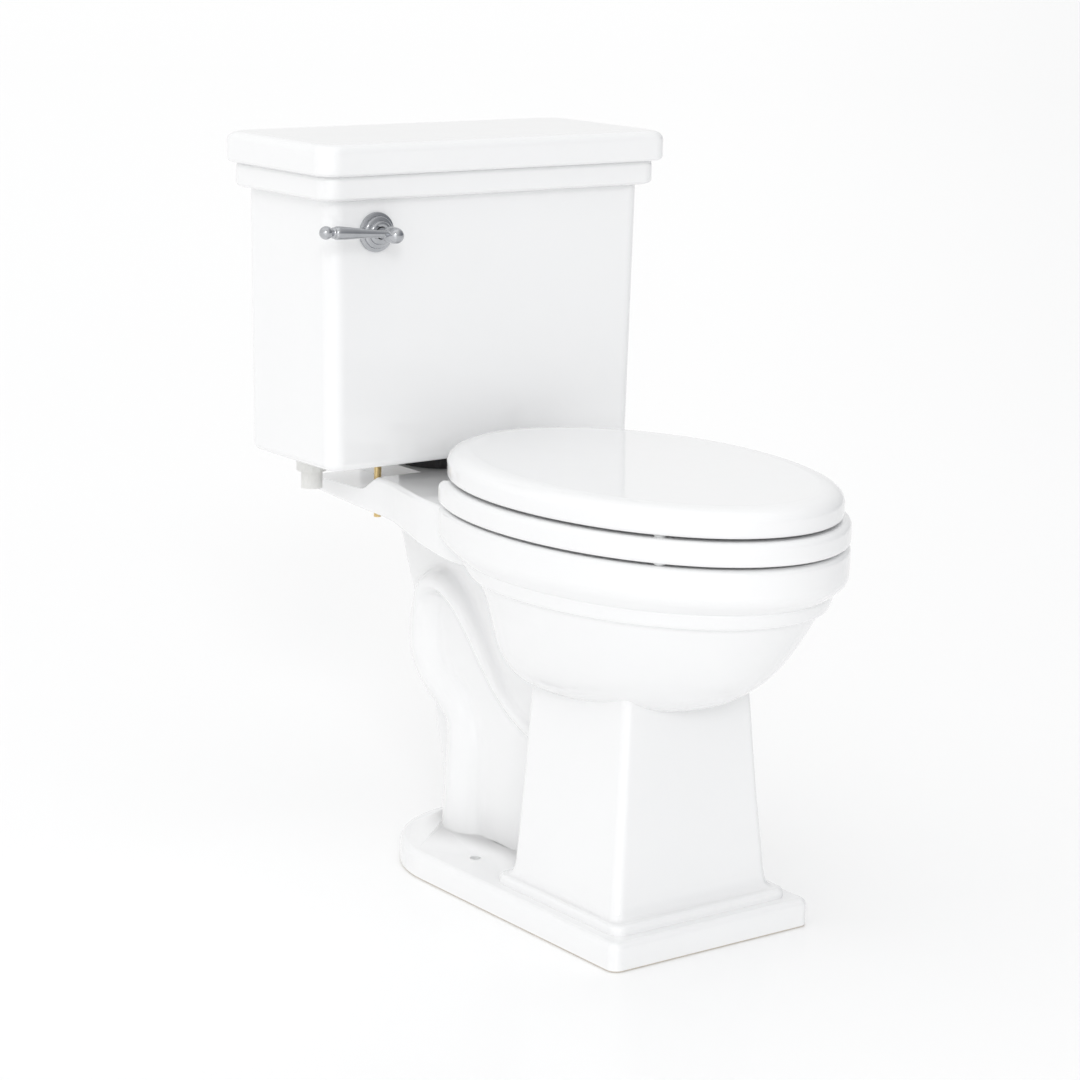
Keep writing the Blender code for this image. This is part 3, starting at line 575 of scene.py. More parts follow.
    def round_edges(
        self, radius: float, wanted: Callable[[Vector], bool], steps: int = 5
    ) -> None:
        """Rounds the edges whose corners pass a test.

        Args:
            radius: Size of the rounding.
            wanted: The test on a corner.
            steps: Facets in the rounding.
        """
        self.edit()
        self.corners(wanted)
        bpy.ops.mesh.bevel(offset=radius, segments=steps, affect="EDGES", profile=0.5)
        self.leave()

    def grow(self, boxes: Sequence[tuple[Point, Point]]) -> None:
        """Extrudes the whole flat face through boxes: each ring fills its box's outline.

        Args:
            boxes: For each ring the low and high corner. The first is the start face's own.
        """
        self.edit()
        bpy.ops.mesh.select_all(action="SELECT")
        last_low, last_high = (Vector(corner) for corner in boxes[0])
        for corner_low, corner_high in boxes[1:]:
            low, high = Vector(corner_low), Vector(corner_high)
            middle = (low + high) / 2
            bpy.ops.mesh.extrude_region_move(
                TRANSFORM_OT_translate={"value": tuple(middle - (last_low + last_high) / 2)}
            )
            old, new = last_high - last_low, high - low
            factor = [new[i] / old[i] if old[i] > NOTHING else 1.0 for i in range(3)]
            bpy.ops.transform.resize(value=factor, center_override=tuple(middle))
            last_low, last_high = low, high
        self.leave()
        self.tidy()

    def grow_oval(self, levels: Sequence[Oval]) -> None:
        """Extrudes the unit disc up through ovals, front and rear half apart.

        Args:
            levels: The ovals from first to last. The first is where the disc stands.
        """
        self.edit()
        bpy.ops.mesh.select_all(action="SELECT")
        now = Oval(levels[0].z, 1.0, 1.0, 1.0, levels[0].middle)
        ring = [vert.index for vert in bmesh.from_edit_mesh(self.obj.data).verts]
        for step, level in enumerate(levels):
            if step:
                shift = (0.0, level.middle - now.middle, level.z - now.z)
                bpy.ops.mesh.extrude_region_move(TRANSFORM_OT_translate={"value": shift})
                ring = [v.index for v in bmesh.from_edit_mesh(self.obj.data).verts if v.select]
            centre = (0.0, level.middle, level.z)
            bpy.ops.transform.resize(
                value=(level.half / now.half, 1.0, 1.0), center_override=centre
            )
            for rear, factor in ((False, level.front / now.front), (True, level.rear / now.rear)):
                self._pick(ring, level.middle, rear)
                bpy.ops.transform.resize(value=(1.0, factor, 1.0), center_override=centre)
            self._pick(ring, level.middle, None)
            now = level
        self.leave()
        self.tidy()

    def _pick(self, ring: Sequence[int], middle: float, rear: bool | None) -> None:
        """Selects one half of a ring, or all of it with None.

        Args:
            ring: The ring's corners.
            middle: The y between the halves.
            rear: Whether the half is the rear one.
        """
        mesh = bmesh.from_edit_mesh(self.obj.data)
        mesh.verts.ensure_lookup_table()
        bpy.ops.mesh.select_all(action="DESELECT")
        for index in ring:
            vert = mesh.verts[index]
            vert.select = rear is None or (vert.co.y > middle) == rear
        mesh.select_flush(True)
        bmesh.update_edit_mesh(self.obj.data)

    def slice_off(self, at: Point, way: Point) -> None:
        """Cuts away what lies beyond a plane, and closes the cut.

        Args:
            at: A point on the plane.
            way: The plane's normal, towards what goes.
        """
        self.edit()
        bpy.ops.mesh.select_all(action="SELECT")
        bpy.ops.mesh.bisect(plane_co=at, plane_no=way, use_fill=True, clear_outer=True)
        self.leave()

    def thicken(self, offset: Point) -> None:
        """Extrudes a flat outline's face by an offset into a plate.

        Args:
            offset: The offset.
        """
        self.edit()
        bpy.ops.mesh.select_all(action="SELECT")
        bpy.ops.mesh.extrude_region_move(TRANSFORM_OT_translate={"value": offset})
        self.leave()
        self.tidy()

    def tidy(self) -> None:
        """Merges doubles and turns every face outwards."""
        self.edit()
        bpy.ops.mesh.select_all(action="SELECT")
        bpy.ops.mesh.remove_doubles(threshold=WELD)
        bpy.ops.mesh.normals_make_consistent(inside=False)
        self.leave()

    def apply(self, modifier: bpy.types.Modifier) -> None:
        """Applies a modifier to the mesh."""
        self.select()
        bpy.ops.object.modifier_apply(modifier=modifier.name)

    def _boolean(self, operation: str, others: Iterable[Shape]) -> None:
        """Runs an exact Boolean with each of some shapes, and removes them.

        Args:
            operation: UNION or DIFFERENCE.
            others: The shapes.
        """
        for other in others:
            step = self.obj.modifiers.new("boolean", "BOOLEAN")
            step.operation = operation
            step.solver = "EXACT"
            step.object = other.obj
            self.apply(step)
            bpy.data.objects.remove(other.obj)

    def join(self, *others: Shape) -> None:
        """Adds the solids of other shapes to this one."""
        self._boolean("UNION", others)

    def cut(self, *others: Shape) -> None:
        """Takes the solids of other shapes out of this one."""
        self._boolean("DIFFERENCE", others)

    def soften(self, voxel: float, rounds: int) -> None:
        """Melts the shape's creases: an even remesh, then smoothing.

        Args:
            voxel: Size of the new mesh's faces.
            rounds: Times that every corner moves towards its neighbours.
        """
        remesh = self.obj.modifiers.new("even", "REMESH")
        remesh.mode = "VOXEL"
        remesh.voxel_size = voxel
        self.apply(remesh)
        smooth = self.obj.modifiers.new("melt", "SMOOTH")
        smooth.factor = 0.5
        smooth.iterations = rounds
        self.apply(smooth)

    def bevel_sharp(self, width: float, degrees: float = 30.0, steps: int = 4) -> None:
        """Rounds every edge that is sharper than an angle.

        Args:
            width: Size of the rounding.
            degrees: The angle.
            steps: Facets in the rounding.
        """
        bevel = self.obj.modifiers.new("ease", "BEVEL")
        bevel.width = width
        bevel.segments = steps
        bevel.limit_method = "ANGLE"
        bevel.angle_limit = math.radians(degrees)
        self.apply(bevel)

    # finishing it
    def finish(
        self, material: bpy.types.Material, body: Body, slot: str, nodes: Sequence[str],
        degrees: float = 40.0,
    ) -> bpy.types.Object:
        """Shades, dresses and hands the piece to the frame.

        Args:
            material: Its finish.
            body: The body that it moves with.
            slot: The record's material slot. Not used.
            nodes: The CAD nodes that it stands for.
            degrees: Edges sharper than this stay crisp.

        Returns:
            The finished object.
        """
        self.select()
        bpy.ops.object.shade_smooth_by_angle(angle=math.radians(degrees))
        weigh = self.obj.modifiers.new("weigh", "WEIGHTED_NORMAL")
        weigh.keep_sharp = True
        self.apply(weigh)
        self.obj.data.materials.clear()
        self.obj.data.materials.append(material)
        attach(self.obj, body.value)
        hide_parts(*nodes)
        LOG.info("%s: %d faces", self.obj.name, len(self.obj.data.polygons))
        return self.obj


def clear_selection() -> None:
    """Deselects everything, in object mode."""
    if bpy.context.object and bpy.context.object.mode == "EDIT":
        bpy.ops.object.mode_set(mode="OBJECT")
    bpy.ops.object.select_all(action="DESELECT")


@dataclass(frozen=True)
class Oval:
    """One level of an egg-shaped solid: its height and its reach from its middle."""

    z: float
    half: float
    front: float
    rear: float
    middle: float


def through(points: Sequence[Sequence[float]], between: int) -> list[tuple[float, ...]]:
    """Runs a smooth curve through points.

    Args:
        points: The points, of any number of values each.
        between: New points in each gap.

    Returns:
        The points with the new ones among them.
    """
    result: list[tuple[float, ...]] = []
    last = len(points) - 1
    for i in range(last):
        p0, p1 = points[max(i - 1, 0)], points[i]
        p2, p3 = points[i + 1], points[min(i + 2, last)]
        for step in range(between + 1):
            t = step / (between + 1)
            result.append(tuple(
                0.5 * (2 * b + (c - a) * t + (2 * a - 5 * b + 4 * c - d) * t * t
                       + (3 * b - a - 3 * c + d) * t ** 3)
                for a, b, c, d in zip(p0, p1, p2, p3)
            ))
    result.append(tuple(points[last]))
    return result


def dress(material: bpy.types.Material, *nodes: str) -> None:
    """Gives CAD nodes that stay their finish.

    Args:
        material: The finish.
        nodes: The names of the nodes.
    """
    for node in nodes:
        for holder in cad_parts[node].material_slots:
            holder.material = material
        LOG.info("%s: dressed", node)


# --- bowl -----------------------------------------------------------------------------------------
@dataclass
class Bowl:
    """The china bowl: rim, belly, deck, square column, stepped foot and trapway."""

    rim_z: float = 0.4150
    sides: int = 128
    basin_sides: int = 96
    sump_y: float = -0.0850
    foot_half: float = 0.1270
    foot_front: float = -0.2358
    foot_round_y: float = 0.0990
    foot_thickness: float = 0.0290
    foot_corner: float = 0.0110
    foot_top_edge: float = 0.0068
    foot_floor_edge: float = 0.0012
    notch_x: Flat = (0.0560, 0.1400)
    passage_radius: float = 0.0210
    inlet_radius: float = 0.0300
    drain_y: float = 0.0650
    drain_radius: float = 0.0220
    floor_bolt: Flat = (0.0860, 0.0560)
    # height, half width, reach to the front and the rear, and the y they are measured from
    belly: tuple[Level, ...] = (
        (0.2260, 0.0343, 0.0598, 0.0500, -0.0488), (0.2340, 0.0720, 0.1256, 0.0620, -0.0488),
        (0.2440, 0.0935, 0.1630, 0.0700, -0.0488), (0.2582, 0.1106, 0.1907, 0.0803, -0.0511),
        (0.2795, 0.1262, 0.2100, 0.0967, -0.0595), (0.3033, 0.1375, 0.2186, 0.1167, -0.0715),
        (0.3262, 0.1458, 0.2226, 0.1380, -0.0828), (0.3399, 0.1504, 0.2256, 0.1532, -0.0880),
        (0.3488, 0.1530, 0.2284, 0.1670, -0.0898),
    )
    rim: tuple[Level, ...] = (
        (0.3512, 0.1542, 0.2304, 0.1712, -0.0900), (0.3522, 0.1559, 0.2334, 0.1752, -0.0900),
        (0.3526, 0.1579, 0.2370, 0.1792, -0.0900), (0.3538, 0.1591, 0.2391, 0.1832, -0.0900),
        (0.3570, 0.1600, 0.2406, 0.1892, -0.0900), (0.3620, 0.1610, 0.2424, 0.1972, -0.0900),
        (0.3664, 0.1617, 0.2436, 0.2052, -0.0900), (0.3682, 0.1616, 0.2434, 0.2082, -0.0900),
        (0.3690, 0.1624, 0.2448, 0.2102, -0.0900), (0.3700, 0.1634, 0.2465, 0.2132, -0.0900),
        (0.3730, 0.1655, 0.2501, 0.2212, -0.0900), (0.3770, 0.1684, 0.2552, 0.2332, -0.0900),
        (0.3810, 0.1706, 0.2591, 0.2412, -0.0900), (0.3850, 0.1717, 0.2611, 0.2462, -0.0900),
        (0.3890, 0.1720, 0.2615, 0.2482, -0.0900), (0.4105, 0.1720, 0.2615, 0.2492, -0.0900),
        (0.4128, 0.1711, 0.2600, 0.2484, -0.0900), (0.4143, 0.1696, 0.2573, 0.2467, -0.0900),
        (0.4150, 0.1675, 0.2537, 0.2442, -0.0900), (0.4150, 0.1669, 0.2525, 0.2432, -0.0900),
    )

    def shell(self) -> Shape:
        """Models the outside of the bowl, from its belly to the rim.

        Returns:
            The solid shell.
        """
        levels = [Oval(*level) for level in (*through(self.belly, 2), *self.rim)]
        shape = Shape.disc("bowl_china", self.sides, levels[0].z, levels[0].middle)
        shape.grow_oval(levels)
        return shape

    def deck(self) -> Shape:
        """Models the shelf behind the seat, thin at its back corners.

        Returns:
            The solid deck.
        """
        top = self.rim_z
        # y, half width, underside
        sections = (
            (-0.0200, 0.1340, 0.3610), (0.0200, 0.1390, 0.3600), (0.0450, 0.1400, 0.3610),
            (0.0950, 0.1350, 0.3655), (0.1500, 0.1220, 0.3700), (0.1900, 0.1140, 0.3730),
            (0.2500, 0.1160, 0.3770), (0.3300, 0.1200, 0.3840),
        )
        smooth = through(sections, 3)
        y, half, under = smooth[0]
        shape = Shape.block("deck", (-half, y - 0.010, under), (half, y, top))
        shape.edit()
        shape.corners(lambda co: co.y > y - 0.001)
        for (y0, half0, under0), (y1, half1, under1) in zip(smooth, smooth[1:]):
            bpy.ops.mesh.extrude_region_move(TRANSFORM_OT_translate={"value": (0.0, y1 - y0, 0.0)})
            bpy.ops.transform.resize(
                value=(half1 / half0, 1.0, (top - under1) / (top - under0)),
                center_override=(0.0, y1, top),
            )
        shape.leave()
        shape.tidy()
        shape.bevel_sharp(0.0045, 50.0, 5)
        # y and z of the low ledge that the tank bolts go through
        ledge = (
            (0.2040, 0.4200), (0.2090, 0.4154), (0.2130, 0.4120), (0.2290, 0.4010),
            (0.2340, 0.3988), (0.2400, 0.3980), (0.3500, 0.3980), (0.3500, 0.4200),
        )
        for side in (-1, 1):
            left, right = sorted(side * x for x in self.notch_x)
            shape.cut(Shape.plate("notch", ledge, left, right))
        return shape

    def column(self) -> Shape:
        """Models the square column, flaring into the foot.

        Returns:
            The solid column.
        """
        # height, half width, front, back
        levels = (
            (0.0300, 0.1040, -0.2090, -0.0190), (0.0385, 0.1040, -0.2090, -0.0190),
            (0.0402, 0.1016, -0.2060, -0.0214), (0.0430, 0.0999, -0.2036, -0.0236),
            (0.0480, 0.0988, -0.2019, -0.0250), (0.0560, 0.0976, -0.2006, -0.0257),
            (0.1500, 0.0885, -0.1935, -0.0268), (0.2600, 0.0800, -0.1863, -0.0279),
            (0.2850, 0.0765, -0.1830, -0.0290),
        )
        return Shape.stack("column", levels, 0.0110, 6)

    def tier(self) -> Shape:
        """Models the low moulding round the column's foot.

        Returns:
            The solid moulding.
        """
        # height, half width, front, back
        levels = (
            (0.0200, 0.1110, -0.2190, -0.0130), (0.0345, 0.1110, -0.2190, -0.0130),
            (0.0364, 0.1104, -0.2184, -0.0136), (0.0378, 0.1090, -0.2169, -0.0150),
            (0.0385, 0.1068, -0.2147, -0.0170),
        )
        return Shape.stack("tier", levels, 0.0130, 6)

    def foot(self) -> Shape:
        """Models the foot plate: square at the front, round at the back.

        Returns:
            The solid foot.
        """
        half, back = self.foot_half, self.foot_round_y + self.foot_half
        top = self.foot_thickness
        shape = Shape.sheet("foot", (-half, self.foot_front), (half, back), 0.0)
        shape.round_corners(self.foot_corner, lambda co: co.y < 0, 6)
        shape.round_corners(half - 0.0001, lambda co: co.y > back - 0.001, 24)
        shape.thicken((0.0, 0.0, top))
        shape.round_edges(self.foot_top_edge, lambda co: co.z > top - 0.0005, 6)
        shape.round_edges(self.foot_floor_edge, lambda co: co.z < 0.0005, 2)
        return shape

    def trapway(self) -> Shape:
        """Models the S-shaped trapway and the web between its legs, melted into one form.

        Returns:
            The solid trapway.
        """
        # the outlines and middle lines are y and z
        web = (
            (-0.0900, 0.0200), (0.1680, 0.0200), (0.1690, 0.0900), (0.1640, 0.1300),
            (0.1650, 0.1490), (0.1800, 0.1640), (0.2000, 0.1730), (0.2230, 0.1880),
            (0.2390, 0.2120), (0.2430, 0.2360), (0.2420, 0.2520), (0.2470, 0.2680),
            (0.2560, 0.2860), (0.2680, 0.3130), (0.2740, 0.3300), (0.2820, 0.3480),
            (0.2900, 0.3700), (0.2960, 0.3900), (0.0400, 0.3900), (-0.0900, 0.3200),
        )
        shape = Shape.plate("trapway", web, -0.0370, 0.0370)
        fin = (
            (0.1500, 0.0200), (0.2215, 0.0200), (0.2215, 0.0600), (0.2270, 0.0900),
            (0.2370, 0.1200), (0.2420, 0.1500), (0.2420, 0.1900), (0.1500, 0.1700),
        )
        rib = Shape.plate("rear_rib", fin, -0.0140, 0.0140)
        rising = (
            (-0.0800, 0.1480), (-0.0300, 0.1560), (0.0200, 0.1660), (0.0520, 0.1770),
            (0.0810, 0.1980), (0.1040, 0.2250), (0.1300, 0.2570), (0.1610, 0.2860),
            (0.1950, 0.2960), (0.2190, 0.2810), (0.2260, 0.2500),
        )
        rising_radii = (
            0.0165, 0.0165, 0.0163, 0.0160, 0.0168, 0.0180, 0.0190, 0.0200, 0.0205, 0.0200, 0.0190,
        )
        up = Shape.tube("up_leg", [(0.0, y, z) for y, z in rising], rising_radii, stretch_x=2.75)
        falling = (
            (0.2040, 0.3020), (0.2160, 0.2820), (0.2240, 0.2500), (0.2230, 0.2180),
            (0.2090, 0.1930), (0.1800, 0.1740), (0.1570, 0.1560), (0.1480, 0.1300),
            (0.1490, 0.0900), (0.1510, 0.0500), (0.1510, 0.0150),
        )
        falling_radii = (
            0.0330, 0.0390, 0.0420, 0.0425, 0.0410, 0.0400, 0.0415, 0.0435, 0.0445, 0.0450, 0.0460,
        )
        down = Shape.tube(
            "down_leg", [(0.0, y, z) for y, z in falling], falling_radii, stretch_x=1.22
        )
        shape.join(up, down, rib)
        shape.soften(0.0030, 6)
        return shape

    def hollows(self) -> list[Shape]:
        """Models everything that is hollow in the casting, as cutters.

        Returns:
            The cutters.
        """
        sump = self.sump_y
        # height, half width, front, rear, and the y they are measured from
        levels = (
            (0.4250, 0.1205, 0.2025, 0.1412, -0.0900), (0.4155, 0.1205, 0.2025, 0.1412, -0.0900),
            (0.4120, 0.1187, 0.2007, 0.1394, -0.0900), (0.3960, 0.1185, 0.2005, 0.1392, -0.0900),
            (0.3920, 0.1215, 0.2035, 0.1412, -0.0900), (0.3880, 0.1425, 0.2275, 0.1492, -0.0900),
            (0.3830, 0.1455, 0.2305, 0.1512, -0.0900), (0.3720, 0.1445, 0.2285, 0.1472, -0.0900),
            (0.3600, 0.1365, 0.2155, 0.1322, -0.0900), (0.3450, 0.1295, 0.2071, 0.1227, -0.0893),
            (0.3300, 0.1229, 0.2021, 0.1110, -0.0838), (0.3150, 0.1158, 0.1963, 0.0967, -0.0748),
            (0.3000, 0.1072, 0.1866, 0.0800, -0.0646), (0.2850, 0.0960, 0.1740, 0.0550, -0.0540),
            (0.2700, 0.0820, 0.1430, 0.0440, -0.0620), (0.2550, 0.0680, 0.1100, 0.0420, -0.0740),
            (0.2400, 0.0580, 0.0830, 0.0410, -0.0820), (0.2200, 0.0490, 0.0610, 0.0400, sump),
            (0.2000, 0.0430, 0.0500, 0.0390, sump), (0.1750, 0.0370, 0.0400, 0.0360, sump),
            (0.1550, 0.0320, 0.0320, 0.0320, sump), (0.1420, 0.0250, 0.0250, 0.0250, sump),
            (0.1360, 0.0140, 0.0140, 0.0140, sump),
        )
        basin = Shape.disc("basin", self.basin_sides, levels[0][0], OVAL_Y)
        basin.grow_oval([Oval(*level) for level in levels])
        way = (
            (sump, 0.1560), (-0.0600, 0.1560), (-0.0100, 0.1640), (0.0400, 0.1900),
            (0.0900, 0.2310), (0.1350, 0.2730),
        )
        passage = Shape.tube(
            "passage", [(0.0, y, z) for y, z in way], [self.passage_radius] * len(way)
        )
        inlet = Shape.rod(
            "inlet", (0.0, VALVE_Y, 0.3900), (0.0, VALVE_Y, 0.4300), self.inlet_radius
        )
        hollow = Shape.block(
            "foot_hollow", (-0.0750, -0.1750, -0.0100), (0.0750, -0.0450, 0.1050), 0.008
        )
        drain = Shape.rod(
            "drain", (0.0, self.drain_y, -0.0100), (0.0, self.drain_y, 0.0700), self.drain_radius
        )
        cutters = [basin, passage, inlet, hollow, drain]
        # name, x, y, lowest and highest place, radius
        holes = (
            ("bolt_hole", *self.floor_bolt, -0.010, 0.040, 0.0060),
            ("ledge_hole", TANK_BOLT_X, VALVE_Y, 0.360, 0.410, 0.0050),
            ("seat_hole", HINGE_X, HINGE_Y, 0.380, 0.420, 0.0080),
        )
        for side in (-1, 1):
            for name, x, y, low, high, radius in holes:
                cutters.append(
                    Shape.rod(name, (side * x, y, low), (side * x, y, high), radius, sides=32)
                )
        return cutters

    def build(self, palette: Palette) -> None:
        """Joins the casting and hands it over.

        Args:
            palette: The materials.
        """
        shape = self.shell()
        shape.join(self.deck(), self.column(), self.tier(), self.foot(), self.trapway())
        shape.cut(*self.hollows())
        shape.finish(palette.china, Body.PAN, "china", ["bowl"])


# --- tank -----------------------------------------------------------------------------------------
@dataclass
class Tank:
    """The open china tank, a little narrower at its foot."""

    # height, half width, front and back
    foot: Row = (0.4345, 0.1965, 0.1677, 0.3333)
    mouth: Row = (0.7167, 0.2011, 0.1663, 0.3333)
    wall: float = 0.0100
    floor: float = 0.0120
    corner: float = 0.0170
    lower_edge: float = 0.0085
    upper_edge: float = 0.0012
    lever_hole: float = 0.009

    def build(self, palette: Palette) -> None:
        """Models the tank and its holes.

        Args:
            palette: The materials.
        """
        bottom, top = self.foot[0], self.mouth[0]
        shape = Shape.stack("tank_china", (self.foot, self.mouth), self.corner, 8)
        shape.round_edges(self.lower_edge, lambda co: co.z < bottom + 0.0005, 6)
        shape.cut(self._room())
        shape.round_edges(self.upper_edge, lambda co: co.z > top - 0.0001, 2)
        low, high = bottom - 0.01, bottom + self.floor + 0.01
        # x, y and radius: the flush valve, the tank bolts and the fill valve
        spots = (
            (0.0, VALVE_Y, 0.0275), (-TANK_BOLT_X, VALVE_Y, 0.0050), (TANK_BOLT_X, VALVE_Y, 0.0050),
            (-0.1500, 0.2800, 0.0120),
        )
        for x, y, radius in spots:
            shape.cut(Shape.rod("hole", (x, y, low), (x, y, high), radius))
        front, inside = (LEVER_X, 0.150, LEVER_Z), (LEVER_X, 0.190, LEVER_Z)
        shape.cut(Shape.rod("lever_hole", front, inside, self.lever_hole))
        shape.finish(palette.china, Body.PAN, "china", ["tank"])

    def _room(self) -> Shape:
        """Models the inside of the tank, as a cutter.

        Returns:
            The cutter.
        """
        bottom, top = self.foot[0] + self.floor, self.mouth[0] + 0.010
        levels = [
            (z, half - self.wall, front + self.wall, back - self.wall)
            for z, (_, half, front, back) in ((bottom, self.foot), (top, self.mouth))
        ]
        room = Shape.stack("room", levels, 0.0120, 6)
        room.round_edges(0.0080, lambda co: co.z < bottom + 0.0005, 5)
        return room


@dataclass
class TankLid:
    """The two-tier tank lid."""

    bottom: float = 0.7170
    step: float = 0.7426
    top: float = 0.7751
    tier_half: float = 0.2141
    slab_half: float = 0.2222
    tier_y: Flat = (0.1525, 0.3434)
    slab_y: Flat = (0.1434, 0.3498)
    corner: float = 0.0190
    lug_x: Flat = (0.1790, 0.1880)
    lug_y: Flat = (0.2100, 0.2900)
    lug_z: Flat = (0.7100, 0.7250)

    def build(self, palette: Palette) -> None:
        """Models the lid, hollow underneath, with the lugs that keep it on the tank.

        Args:
            palette: The materials.
        """
        front, back = self.tier_y
        slab_front, slab_back = self.slab_y
        tall, rise = self.step - self.bottom, self.top - self.step
        # height over the foot of the tier or the slab, and inset from its side
        tier = (
            (0.0, 0.0050), (0.0010, 0.0024), (0.0026, 0.0007), (0.0046, 0.0),
            (tall - 0.0050, 0.0), (tall - 0.0016, 0.0006), (tall, 0.0022),
        )
        slab = (
            (0.0004, 0.0042), (0.0010, 0.0022), (0.0024, 0.0007), (0.0046, 0.0),
            (rise - 0.0095, 0.0), (rise - 0.0068, 0.0004), (rise - 0.0043, 0.0016),
            (rise - 0.0022, 0.0036), (rise - 0.0008, 0.0062), (rise - 0.0001, 0.0094),
            (rise, 0.0128),
        )
        levels = [
            (self.bottom + up, self.tier_half - inset, front + inset, back - inset)
            for up, inset in tier
        ] + [
            (self.step + up, self.slab_half - inset, slab_front + inset, slab_back - inset)
            for up, inset in slab
        ]
        shape = Shape.stack("tank_lid_china", levels, self.corner, 8)
        shape.cut(Shape.block("pocket", (-0.1840, 0.1830, 0.7000), (0.1840, 0.3170, 0.7600), 0.006))
        for side in (-1, 1):
            x = sorted(side * reach for reach in self.lug_x)
            low, high = zip(x, self.lug_y, self.lug_z)
            shape.join(Shape.block("lug", low, high, 0.002))
        shape.finish(palette.china, Body.CISTERN_LID, "china", ["tank_lid"])


# --- seat -----------------------------------------------------------------------------------------
@dataclass
class Seat:
    """The seat: the closed-front ring, the lid, and the soft pads under both."""

    # each size is half the width, and the reach to the front and the rear of OVAL_Y
    ring_z: Flat = (0.4178, 0.4410)
    ring_size: Point = (0.1721, 0.2616, 0.2494)
    ring_cut: float = 0.0560
    opening_size: Point = (0.1070, 0.1660, 0.1180)
    arm_x: Flat = (0.0470, 0.0575)
    lid_z: Flat = (0.4436, 0.4706)
    lid_size: Point = (0.1655, 0.2530, 0.2315)
    lid_cut: float = 0.1260
    hollow_size: Point = (0.1360, 0.2240, 0.1480)
    notch_x: Flat = (0.0440, 0.0830)
    sides: int = 160
    inner_sides: int = 128
    back_edge: float = 0.0035
    lug_reach: float = 0.0075

    def _slab(self, name: str, size: Point, cut: float, edge: Sequence[Flat]) -> Shape:
        """Models an oval slab with a straight back.

        Args:
            name: The object's name.
            size: Half its width, and its reach to the front and the rear of OVAL_Y.
            cut: The y of its straight back.
            edge: Its edge from bottom to top, as heights and insets.

        Returns:
            The solid slab.
        """
        levels = [Oval(z, *(reach - inset for reach in size), OVAL_Y) for z, inset in edge]
        shape = Shape.disc(name, self.sides, levels[0].z, OVAL_Y)
        shape.grow_oval(levels)
        shape.slice_off((0.0, cut, 0.0), (0.0, 1.0, 0.0))
        low, high = edge[0][0] + 0.0001, edge[-1][0] - 0.0001
        shape.round_edges(
            self.back_edge, lambda co: co.y > cut - WELD and not low < co.z < high, 4
        )
        return shape

    def build_ring(self, palette: Palette) -> None:
        """Models the seat ring with its hinge lugs.

        Args:
            palette: The materials.
        """
        low, high = self.ring_z
        edge = (
            (low, 0.0040), (low + 0.0005, 0.0022), (low + 0.0016, 0.0008), (low + 0.0034, 0.0001),
            (low + 0.0060, 0.0), (high - 0.0070, 0.0), (high - 0.0046, 0.0004),
            (high - 0.0027, 0.0014), (high - 0.0013, 0.0030), (high - 0.0004, 0.0052),
            (high, 0.0085), (high, 0.0100),
        )
        shape = self._slab("seat_ring_moulding", self.ring_size, self.ring_cut, edge)
        opening = Shape.disc("opening", self.inner_sides, low - 0.010, OVAL_Y)
        opening.grow_oval([
            Oval(z, *(reach + out for reach in self.opening_size), OVAL_Y)
            for z, out in (
                (low - 0.010, 0.0040), (low, 0.0035), (low + 0.0008, 0.0018), (low + 0.003, 0.0),
                (high - 0.0100, 0.0), (high - 0.0070, 0.0008), (high - 0.0045, 0.0026),
                (high - 0.0022, 0.0054), (high - 0.0006, 0.0090), (high, 0.0130),
                (high + 0.010, 0.0135),
            )
        ])
        shape.cut(opening)
        y, z, reach = HINGE_Y, HINGE_Z, self.lug_reach
        for side in (-1, 1):
            left, right = sorted(side * x for x in self.arm_x)
            arm = Shape.block(
                "arm", (left, self.ring_cut - 0.0140, low + 0.0060),
                (right, y + reach, high - 0.0010), 0.002,
            )
            arm.join(Shape.block(
                "lug", (left + 0.0001, y - reach, low + 0.008),
                (right - 0.0001, y + reach, z + reach), 0.003,
            ))
            arm.cut(Shape.rod(
                "pin_hole", (side * 0.0500, y, z), (side * 0.0600, y, z), PIN_HOLE, PIN_SIDES
            ))
            shape.join(arm)
        shape.finish(palette.seat, Body.RING, "seat_white", ["seat_ring"])

    def build_lid(self, palette: Palette) -> None:
        """Models the seat lid: a rounded edge, hollow underneath, notched at the hinges.

        Args:
            palette: The materials.
        """
        low, high = self.lid_z
        edge = (
            (low, 0.0030), (low + 0.0004, 0.0016), (low + 0.0012, 0.0006), (low + 0.0024, 0.0001),
            (low + 0.0045, 0.0), (high - 0.0125, 0.0), (high - 0.0096, 0.0008),
            (high - 0.0068, 0.0026), (high - 0.0044, 0.0054), (high - 0.0025, 0.0090),
            (high - 0.0012, 0.0132), (high - 0.0004, 0.0180), (high, 0.0240), (high, 0.0260),
        )
        shape = self._slab("seat_lid_moulding", self.lid_size, self.lid_cut, edge)
        hollow = Shape.disc("hollow", self.inner_sides, low - 0.010, OVAL_Y)
        hollow.grow_oval([
            Oval(z, *(reach - inset for reach in self.hollow_size), OVAL_Y)
            for z, inset in (
                (low - 0.010, 0.0), (low + 0.010, 0.0), (low + 0.0145, 0.0020),
                (low + 0.0170, 0.0060), (low + 0.0182, 0.0120),
            )
        ])
        shape.cut(hollow)
        y, z = HINGE_Y, HINGE_Z
        for side in (-1, 1):
            left, right = sorted(side * x for x in self.notch_x)
            notch = Shape.block(
                "notch", (left, y - 0.0130, low - 0.010),
                (right, self.lid_cut + 0.020, high - 0.0045), 0.002,
            )
            hole = Shape.rod(
                "pin_hole", (side * 0.0800, y, z), (side * 0.0900, y, z), PIN_HOLE, PIN_SIDES
            )
            shape.cut(notch, hole)
        shape.finish(palette.seat, Body.LID, "seat_white", ["seat_lid"])

